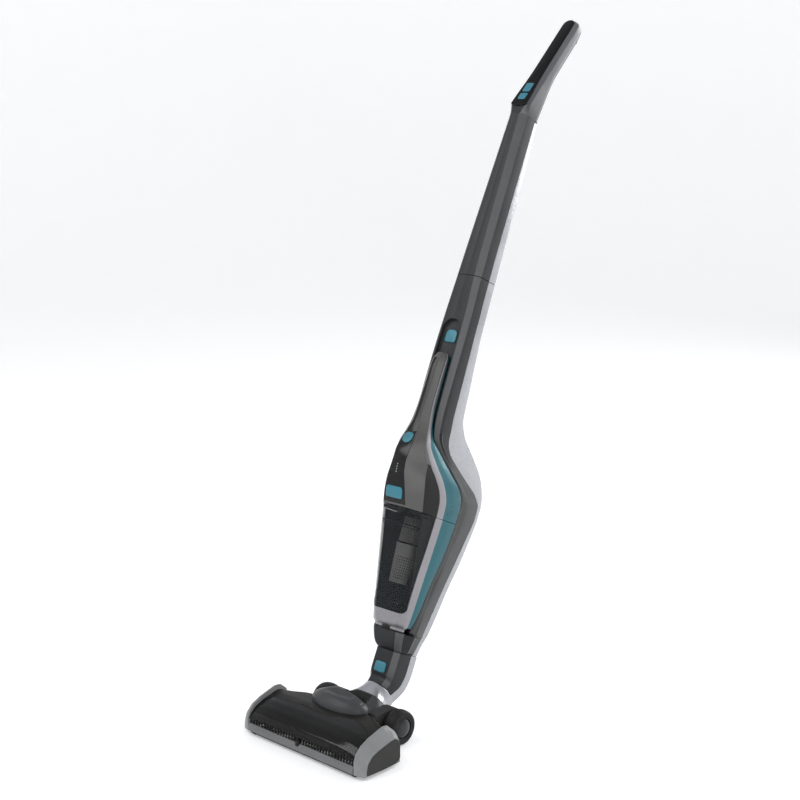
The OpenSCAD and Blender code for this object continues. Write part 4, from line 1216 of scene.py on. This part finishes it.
# %% Neck shells
NECK = [  # height, middle, tilt, half-width, half-depth
    [35.4, 26.5, 36.8, 21, 23], [43.4, 32.5, 34, 22, 24.5], [57, 38, 14, 23.5, 28],
    [74, 39.8, 0, 24.5, 29], [101.8, 40, 0, 24.5, 29],
]


def tilted(points, s, middle, tilt):
    a = math.radians(tilt)
    return [stick(x, middle + q * math.cos(a), s - q * math.sin(a)) for x, q in points]


def neck_front_ring(s):
    middle, tilt, half_w, half_d = station(NECK, s)
    half = [(0, -half_d - 0.3), (half_w - 7.5, -half_d), (half_w, 8 - half_d), (half_w, half_d - 23),
            (0, half_d - 23)]
    return tilted(both_sides(rounded(half, [0, 1.0, 1.4, 0.5, 0], 5)), s, middle, tilt)


def neck_back_ring(s):
    middle, tilt, half_w, half_d = station(NECK, s)
    half = [(0, half_d - 22.5), (half_w, half_d - 22.5), (half_w - 1.5, half_d - 7),
            (half_w * 0.6, half_d), (0, half_d + 0.4)]
    return tilted(both_sides(rounded(half, [0, 0.5, 4, 6, 0], 5)), s, middle, tilt)


neck_heights = heights_between(35.4, 101.7, 2.5)
neck_shell = loft("neck_shell_front", [neck_front_ring(s) for s in neck_heights])
fitted(neck_shell, "stick", "gunmetal", [GUNMETAL, GUNMETAL_LIT_CHAMFER], "neck_shell")


# painted highlight: picks the neck's chamfer faces for the lighter gunmetal
def on_lit_neck_chamfer(centre, normal):
    x, _, s = in_stick(centre)
    _, _, half_w, _ = station(NECK, s)
    return abs(normal.x) > 0.3 and abs(normal.x) < 0.93 and abs(x) > half_w - 8.2 and normal.y < 0.2


print("neck chamfer faces:", paint_faces(neck_shell, 1, on_lit_neck_chamfer))
fitted(loft("neck_spine_shell", [neck_back_ring(s) for s in neck_heights]), "stick", "silver", SILVER,
       "neck_spine")


def release_button(name, s, t, tip, top_round, half_w=12.6, half_h=9.6):
    place = face_on(s, t, tip)
    return slab(name, corner_outline(half_w, -half_h, half_h, 3.4, top_round), place, -3.5, 1.9, 1.1, 0.6)


neck_button = release_button("head_release_cap", 74, 10.8, 0, 4.0, 10.9, 8.2)
fitted(neck_button, "head_release", "button_teal", BUTTON, "head_release")
stick_button = release_button("stick_release_cap", 590, -48, 0, 7.5, 10.8, 10.2)
fitted(stick_button, "stick_release", "button_teal", BUTTON, "stick_release")
neck_rim = button_frame("neck_button_rim", corner_outline(11.9, -9.2, 9.2, 3.0, 4.6),
                        corner_outline(11.1, -8.4, 8.4, 2.7, 4.2), face_on(74, 10.7, 0), -1.0, 0.5)
fitted(neck_rim, "stick", "dark_plastic", DARK)
slot_rim = button_frame("slot_button_rim", corner_outline(11.8, -11.2, 11.2, 3.2, 8.3),
                        corner_outline(11.0, -10.4, 10.4, 2.7, 7.6), face_on(590, -48, 0), -1.0, 0.6)
fitted(slot_rim, "stick", "dark_plastic", DARK)

# %% [markdown]
# The yoke is a single casting in the real thing: a collar that turns about the neck, sweeping out into
# a cross-tube that rocks between the wheel arms. Ellipses that widen and flatten as they go down the
# lower neck give that sweep, closed below by the half round of the cross-tube.

# %% Yoke
YOKE = [  # distance up the lower neck, half-width, half-depth, squareness
    [-24, 41.3, 3, 5.0], [-21, 41.4, 13, 5.0], [-14, 41.4, 20.6, 5.0], [0, 41.4, 24.6, 5.0],
    [12, 38.5, 24.9, 4.0], [22, 32, 25.2, 3.0], [30, 27.5, 25.5, 2.5], [38, 26, 25.5, 2.2],
        [42.4, 25.6, 25.4, 2.2],
]


def yoke_ring(d, f=1.0, steps=96):
    half_w, half_d, power = station(YOKE, d)
    ring = []
    for k in range(steps):
        a = 2 * math.pi * k / steps
        c, s = math.cos(a), math.sin(a)
        x = math.copysign(abs(c) ** (2 / power), c) * half_w * f
        t = math.copysign(abs(s) ** (2 / power), s) * half_d * f
        ring.append(low_neck(x, t, d))
    return ring


yoke = loft("yoke_casting", [yoke_ring(d) for d in heights_between(-23.6, 42.2, 1.6)]
            + [yoke_ring(42.8, 0.985), yoke_ring(43.0, 0.955), yoke_ring(42.6, 0.93), yoke_ring(38, 0.92)])
fitted(yoke, "yoke", "silver", [SILVER, DOME, DARK], "yoke")


def up_low_neck(point):
    y, z = (point.y - AXLE.y) / MM, (point.z - AXLE.z) / MM
    return y * math.sin(LEAN + NECK_BEND) + z * math.cos(LEAN + NECK_BEND)


paint_faces(yoke, 1, lambda centre, normal: up_low_neck(centre) < 21)
# painted shade: a black patch on the top of the yoke stands for a shaded hollow
paint_faces(yoke, 2, lambda centre, normal: 2 < up_low_neck(centre) < 19 and abs(centre.x) < 0.017
            and normal.z > 0.3)

# %% [markdown]
# ## The floor head
# Seen from above the head is a black cover behind a tinted window, and the joint between them is a long
# wave that dips around the swivel dome. Both are cut from one curved skin: every section across the head
# is the same rounded path from the front lip over the top to the back, and the wave only says how far
# along that path the window stops and the cover starts.

# %% One skin, cut into window and cover by a wave
WAVE = [[-112, 22], [-100, 30], [-67, 36], [-40, 38], [-21, 37], [0, 35.5], [20, 38], [40, 46], [60, 49],
        [84, 42], [107, 28], [112, 22]]
BACK_EDGE = [[-112, 72], [-90, 78], [-66, 89], [-50, 91], [0, 91], [50, 91], [66, 89], [90, 78], [112, 72]]


def skin_path(x):
    back = float(station(BACK_EDGE, x)[0])
    drop = 2.0 * min(abs(x) / 112, 1) ** 3
    end = min(abs(x) / 112, 1) ** 5
    corners = [(-9 + 2 * end, 30 - 4 * end), (-4 + 2 * end, 39.5 - 6 * end), (8, 47.5 - 6 * end),
               (23, 52.5 - 5 * end),
               (38, 54.8 - drop * 0.4 - 3 * end), (47, 56 - drop),
               (back - 14, 56 - drop), (back - 4, 46 - drop), (back, 34), (back, 5)]
    return np.array(rounded(corners, [0, 8, 14, 16, 14, 20, 9, 8, 6, 0], 6))


def share_at(path, y):
    """How far along the path its top first reaches y."""
    run = np.concatenate([[0], np.cumsum(np.linalg.norm(np.diff(path, axis=0), axis=1))])
    top = int(np.argmax(path[:, 0]))
    return float(np.interp(y, path[:top, 0], run[:top])) / run[-1]


def skin_piece(name, part, count, wall=2.0, gap=0.004):
    rings = []
    for x in heights_between(-111.6, 111.6, 2.4):
        path = skin_path(x)
        wave = share_at(path, float(station(WAVE, x)[0]))
        low, high = (0, wave - gap) if part == "window" else (wave, 1)
        ring = thickened(partial(path, low, high, count), -wall)
        rings.append([head(x, y, z) for y, z in ring])
    return loft(name, rings, smooth_angle=38)


window = skin_piece("brush_window_clear", "window", 26)
fitted(window, "head", "window", WINDOW, "brush_window")
cover = skin_piece("head_cover_shell", "cover", 44)
fitted(cover, "head", "head_black", HEAD_BLACK, "head_cover")

# %% [markdown]
# The end caps carry the head's corners. Each is lofted from the tall outline where it meets the cover
# to the lower one at its outer face, and the sharp outer edge is rolled over by the last few rings.

# %% End caps and their dark inserts
CAP_INNER = [(-8.6, 7), (-8.6, 27), (-5, 36.5), (5, 46.5), (20, 53.5), (37, 58.5), (49, 62), (59, 61),
             (71, 51),
             (76, 36), (76, 7)]
CAP_OUTER = [(-2, 5), (-2, 14), (1, 25), (11, 35.5), (24, 40), (38, 43), (50, 46), (60, 47), (68, 43),
             (71, 34), (71, 5)]
CAP_ROUND = [0, 3, 5, 6, 6, 6, 6, 5, 6, 5, 0]


def cap_ring(x, f, shrink=0.0):
    pts = [np.array(a) * (1 - f) + np.array(b) * f for a, b in zip(CAP_INNER, CAP_OUTER)]
    path = np.array(rounded(pts, CAP_ROUND, 5))
    middle = np.array((37, 24))
    path = middle + (path - middle) * (1 - shrink)
    path[:, 1] = np.maximum(path[:, 1], 4.6)
    return [head(x, y, z) for y, z in path]


cap_rings = [cap_ring(112.0, 0, 0.02), cap_ring(112.5, 0), cap_ring(113.6, 0.03)]
cap_rings += [cap_ring(113.6 + 13 * k / 10, 0.03 + 0.9 * (k / 10) ** 1.7) for k in range(1, 11)]
cap_rings += [cap_ring(127.8, 0.98, 0.01), cap_ring(128.7, 1.0, 0.03), cap_ring(129.0, 1.0, 0.06)]
for side, rings in (("right", cap_rings), ("left", mirrored(cap_rings))):
    fitted(loft("end_cap_" + side + "_shell", rings, smooth_angle=34), "head", "cap_grey", CAP_GREY,
           "end_cap_" + side)

INSERT_OUTLINE = [(1.5, 8), (2, 14), (4.5, 23.5), (13, 32.5), (25, 37.2), (50, 43.5), (60, 44.2),
                  (66, 40.5),
                  (69, 33), (69, 12), (60, 7), (30, 6.5), (1.5, 8)]
insert_path = rounded(INSERT_OUTLINE, [0, 1, 3, 5, 5, 5, 5, 4, 4, 5, 4, 3, 0], 4)[:-1]
for side, sign in (("right", 1), ("left", -1)):
    def on_side(y, z, out, sign=sign):
        return head(sign * (129.0 + out), y, z)
    insert = flat_plate("side_insert_" + side + "_face", insert_path, on_side, -0.5, 0.9, 0.4)
    fitted(insert, "head", "insert_grey", INSERT, "side_insert_" + side)

# %% [markdown]
# The front strip is a bar right across the mouth of the head, with a clip in its middle. Under and
# behind it the brush shows: a turned core with four spirals of nylon tufts, each tuft a small cone of
# bristle, because a plain roller would read as a solid bar through the window.

# %% Front strip, clip and brush
STRIP_PROFILE = [(10, 8), (10, 15), (7.5, 19), (4.6, 19.4), (4, 17), (4, 11.5), (3.2, 10.5), (4, 6.5),
                 (8, 6.5), (10, 8)]


def strip_ring(x, f=1.0):
    path = np.array(rounded(STRIP_PROFILE, [0, 1.5, 1.5, 1, 0.8, 0.6, 0.8, 0.8, 0.8, 0], 4))[:-1]
    middle = path.mean(axis=0)
    return [head(x, -(middle[0] + (a - middle[0]) * f), middle[1] + (b - middle[1]) * f) for a, b in path]


strip = loft("front_strip_bar",
             [strip_ring(-111.4, 0.9)] + [strip_ring(x) for x in heights_between(-111, 111, 18)]
             + [strip_ring(111.4, 0.9)])
fitted(strip, "head", "cap_grey", STRIP, "front_strip")


def on_front_face(x, y, z):
    return head(x, -7.5 - z, y)


clip = slab("front_clip", corner_outline(3.6, 12, 24.5, 1.5, 2.5), lambda x, y,
            z: on_front_face(x - 4, y, z), -4, 2.3, 0.8, 0.3)
fitted(clip, "head", "dark_plastic", DARK)
ribs = [slab("rib", corner_outline(0.6, 18.5, 30.0, 0.4, 0.4), lambda x, y, z,
             mid=mid: on_front_face(x + mid, y, z),
             -3.0, 0.0, 0.3) for mid in range(-108, 109, 6) if abs(mid + 4) > 5]
fitted(joined("front_comb_ribs", ribs), "head", "insert_grey", INSERT)
BRUSH_Y, BRUSH_Z = 20, 22
core_profile = [(0.01, -105), (4, -105), (4, -99), (11.4, -99), (12, -98.2), (12, 98.2), (11.4, 99),
                (8, 99), (8, 108),
                (4, 108), (4, 110), (0.01, 110)]
core = lathe("brush_core_turned", core_profile, head(0, BRUSH_Y, BRUSH_Z), (1, 0, 0), steps=64)
fitted(core, "brush", "brush_red", BRUSH_RED, "brush_core")


def tuft(x, angle):
    """One tuft: six bristles' worth of cone, leaning out from the core."""
    a = math.radians(angle)
    out = np.array((math.cos(a), math.sin(a)))
    side = np.array((-math.sin(a), math.cos(a)))
    rings = []
    for reach, fat in ((11.6, 1.15), (16, 1.25), (19.4, 1.5)):
        ring = []
        for k in range(7):
            b = 2 * math.pi * k / 7
            place = out * reach + side * fat * math.sin(b)
            ring.append(head(x + fat * math.cos(b), BRUSH_Y + place[0], BRUSH_Z + place[1]))
        rings.append(ring)
    return rings


def tufts():
    verts, faces = [], []
    for row in range(4):
        for k in range(46):
            x = -95 + 190 * k / 45
            rings = tuft(x, 90 * row + 1.1 * (x + 95))
            base = len(verts)
            verts += [p for r in rings for p in r]
            for r in range(2):
                for i in range(7):
                    j = (i + 1) % 7
                    faces.append([base + 7 * r + i, base + 7 * r + j, base + 7 * r + 7 + j,
                                  base + 7 * r + 7 + i])
            faces.append([base + 14 + i for i in range(7)])
            faces.append([base + 6 - i for i in range(7)])
    return new_object("brush_tufts", verts, faces, 50)


fitted(tufts(), "brush", "bristle", BRISTLE, "brush_bristles")

# %% [markdown]
# The swivel dome is a low oval cap. Its height comes from one formula over an oval grid: a flattened
# dome, a ridge and a dip, a mouth on one side that shows the air hose, and one fine scribed line.

# %% Swivel dome and air hose
def dome_height(x, y, r):
    cap = 19.5 * max(1 - r ** 2.3, 0) ** 0.55
    ridge = 3.0 * math.exp(-((y - 84) / 7.5) ** 2) * max(1 - (x / 36) ** 2, 0)
    dip = -3.5 * math.exp(-((y - 74) / 7) ** 2) * max(1 - (x / 30) ** 2, 0)
    scribe = -0.7 * math.exp(-((r - 0.84) / 0.018) ** 2)
    mouth = -12 * math.exp(-(((x - 14) / 24) ** 2 + ((y - 94) / 8.5) ** 2) ** 2)
    return 56.2 + max(cap + (ridge + dip) * (1 - r ** 4) + scribe + mouth, 0)


def swivel_dome():
    around, out = 120, 48
    verts = [head(0, 75.5, dome_height(0, 75.5, 0))]
    for k in range(1, out + 1):
        r = k / out
        for i in range(around):
            a = 2 * math.pi * i / around
            x, y = 54 * r * math.cos(a), 75.5 + 26.5 * r * math.sin(a)
            verts.append(head(x, y, dome_height(x, y, r)))
    faces = [[0, 1 + i, 1 + (i + 1) % around] for i in range(around)]
    for k in range(out - 1):
        for i in range(around):
            j = (i + 1) % around
            a, b = 1 + k * around, 1 + (k + 1) * around
            faces.append([a + i, b + i, b + j, a + j])
    top = len(verts)
    last = 1 + (out - 1) * around
    verts += [verts[last + i] + Vector((0, 0, -0.004)) for i in range(around)]
    faces += [[last + i, top + i, top + (i + 1) % around, last + (i + 1) % around] for i in range(around)]
    faces.append([top + i for i in range(around)][::-1])
    return new_object("swivel_dome_cap", verts, faces, 50)


dome = swivel_dome()
fitted(dome, "head", "dome_grey", [DOME, DARK], "swivel_dome")


# painted shade: the faces of the dome's mouth recess are painted dark
def in_shaded_mouth(centre, normal):
    x, y = centre.x / MM, centre.y / MM - FRONT_Y
    return ((x - 14) / 25) ** 2 + ((y - 94) / 8.8) ** 2 < 1


print("mouth faces:", paint_faces(dome, 1, in_shaded_mouth))


def swept_tube(name, route, radius_at, steps=40, around=28):
    """A tube along a smooth route of head-frame points, its radius given by a function of the share."""
    pts = np.array(route, float)
    knots = [[k, *p] for k, p in enumerate(pts)]
    centres = [station(knots, (len(pts) - 1) * k / steps) for k in range(steps + 1)]
    rings = []
    for k, c in enumerate(centres):
        ahead = centres[min(k + 1, steps)] - centres[max(k - 1, 0)]
        way = unit(ahead)
        up = unit(np.cross(way, (1, 0, 0)))
        r = radius_at(k / steps)
        rings.append([head(*(c + (np.array((1, 0, 0)) * math.cos(a) + up * math.sin(a)) * r))
                      for a in [2 * math.pi * i / around for i in range(around)]])
    return loft(name, rings, smooth_angle=60)


HOSE_ROUTE = [(0, 84, 58), (0, 94, 61), (0, 103, 60.5), (0, 110, 56), (0, 115, 49)]
hose = swept_tube("air_hose", HOSE_ROUTE, lambda u: 7.6 + 0.8 * math.sin(2 * math.pi * 9 * u), steps=108)
hose.data.materials.append(RUBBER)
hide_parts("joint_hose")
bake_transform(hose)

# %% [markdown]
# Wheels, hub caps and arms are turned or bent sheet-like shapes. A lathe suits the wheels: one profile
# with a rounded tread, one shallow groove and a recess for the hub cap. The arms are one outline each, a rounded
# block that wraps half way round the axle.

# %% Wheels, hub caps and wheel arms
AXLE_Y, AXLE_Z = 123.3, 26.5
tread = [(26.5 - 3 + 3 * math.cos(math.radians(a)),
          10 + 10 * math.sin(math.radians(a))) for a in range(-60, 61, 10)]
wheel_profile = [(4.05, 0), (23.0, 0), (24.6, 0.8)] + tread + [(24.4, 20.3), (22.8, 21), (19.5, 21),
                                                               (19.0, 20.4), (18.4, 21),
                 (16.2, 21), (15.6, 20.2), (15.5, 17), (4.05, 17), (4.05, 0)]
dome_profile = [(0.01, 1)] + [(14.9, 0), (15, 1.2)]
dome_profile += [(15 * math.cos(math.radians(a)),
                  1.5 + 4.3 * math.sin(math.radians(a))) for a in range(6, 90, 6)] + [(0.01, 5.8)]
for side, sign in (("right", 1), ("left", -1)):
    tyre = lathe("wheel_" + side + "_tyre", wheel_profile, head(sign * 66, AXLE_Y, AXLE_Z),
                 (sign, 0, 0), steps=128)
    fitted(tyre, "wheel_" + side, "tyre", TYRE, "wheel_" + side)
    hub = lathe("hub_cap_" + side + "_dome", dome_profile, head(sign * 83.1, AXLE_Y, AXLE_Z),
                (sign, 0, 0), steps=96)
    fitted(hub, "wheel_" + side, "hub", HUB, "hub_cap_" + side)


def arm_outline():
    arc = [(AXLE_Y + 25 * math.cos(math.radians(a)),
            AXLE_Z + 25 * math.sin(math.radians(a))) for a in range(104, -61, -6)]
    front = [(86, 5.2), (86, 44), (92, 49.6), (104, 51.2)]
    return [p for p in front] + [p for p in arc if p[1] > 5.2]


def arm_ring(x, shrink=0.0):
    pts = np.array(arm_outline())
    middle = np.array((106, 27))
    return [head(x, *(middle + (p - middle) * (1 - shrink))) for p in pts]


arm_rings = [arm_ring(42.7, 0.03), arm_ring(43.4)] + [arm_ring(x) for x in heights_between(46, 60, 3)]
arm_rings += [arm_ring(61.3), arm_ring(62.1, 0.01), arm_ring(62.5, 0.035)]
arms = joined("pivot_carrier_arms", [loft("right", arm_rings), loft("left", mirrored(arm_rings))])
fitted(arms, "head", "insert_grey", INSERT, "pivot_carrier")

# %% [markdown]
# The pieces that keep their CAD shape are the small turned and hidden ones: bearings, pins, motors, cells
# and seals. Each still gets a real finish, because a cut-away or a tilted hand vacuum shows them.

# %% Finishes for the carried-over CAD pieces
CARRIED = {
    "sole_plate": DARK, "pivot_tube": STEEL, "wheel_axles": STEEL, "roller_pins": STEEL,
    "brush_bearings": BRONZE, "brush_motor": STEEL, "drive_belt": RUBBER, "sole_screws": STEEL,
    "roller_left": TYRE, "roller_right": TYRE, "motor_pulley": BRONZE, "charge_socket": DARK,
    "dock_seal": RUBBER, "inlet_flap": RUBBER, "vac_motor": STEEL, "fan": DARK,
    "battery_cells": SLEEVE, "circuit_board": BOARD,
}
for name, material in CARRIED.items():
    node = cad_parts[name]
    node.data.materials.clear()
    node.data.materials.append(material)
print("carried over with a finish:", len(CARRIED))

# %% [markdown]
# ## Floor and light
# A plain pale round floor that turns up into a low wall all the way round, and soft light from three large
# panels: one high in front, a tall one near the camera that fills the angled facets, and a strong one
# behind on the right that draws the bright line down the silver spine.

# %% Floor
def floor_ring(angle, out=7.0, sweep=1.5, wall=3.5):
    """A round studio floor that turns up into a low wall all the way round."""
    a = math.radians(angle)
    profile = [(0.0, 0), (2, 0), (4, 0), (out - sweep, 0)]
    profile += [(out - sweep + sweep * math.sin(math.radians(b)), sweep - sweep * math.cos(math.radians(b)))
                for b in range(10, 91, 10)] + [(out, wall)]
    return [Vector((r * math.cos(a), r * math.sin(a), z)) for r, z in profile]


floor_rings = [floor_ring(a) for a in range(0, 361, 10)]
floor = loft("studio_floor", floor_rings, closed=False, caps=False, smooth_angle=60)
white = finish("studio_white", (0.86, 0.86, 0.86), rough=0.7, depth=0.01, edge_highlight=0.0, drift=0.01)
white_shader = white.node_tree.nodes["Principled BSDF"]
white_shader.inputs["Emission Color"].default_value = (1, 1, 1, 1)
white_shader.inputs["Emission Strength"].default_value = 0.2
floor.data.materials.append(white)


def panel_light(name, place, look, width, height, watts, tint=(1, 1, 1)):
    data = bpy.data.lights.new(name, "AREA")
    data.shape = "RECTANGLE"
    data.size, data.size_y = width, height
    data.energy = watts
    data.color = tint
    lamp = bpy.data.objects.new(name, data)
    bpy.context.scene.collection.objects.link(lamp)
    lamp.location = place
    lamp.rotation_euler = (Vector(look) - Vector(place)).to_track_quat("-Z", "Y").to_euler()
    return lamp


panel_light("high_front", (-1.2, -2.0, 2.6), (0, 0, 0.4), 2.0, 1.6, 40)
panel_light("beside_camera", (2.3, -1.5, 1.6), (0, 0, 0.5), 0.9, 2.2, 20)
panel_light("right_rim", (0.7, 2.5, 1.6), (0, 0.1, 0.6), 0.9, 2.4, 60)
world = bpy.data.worlds.new("studio")
world.use_nodes = True
sky = world.node_tree.nodes["Background"]
sky.inputs["Color"].default_value = (0.95, 0.97, 1.0, 1)
sky.inputs["Strength"].default_value = 0.68
bpy.context.scene.world = world
bpy.context.scene.view_settings.view_transform = "Standard"
print("lights:", len(bpy.data.lights))
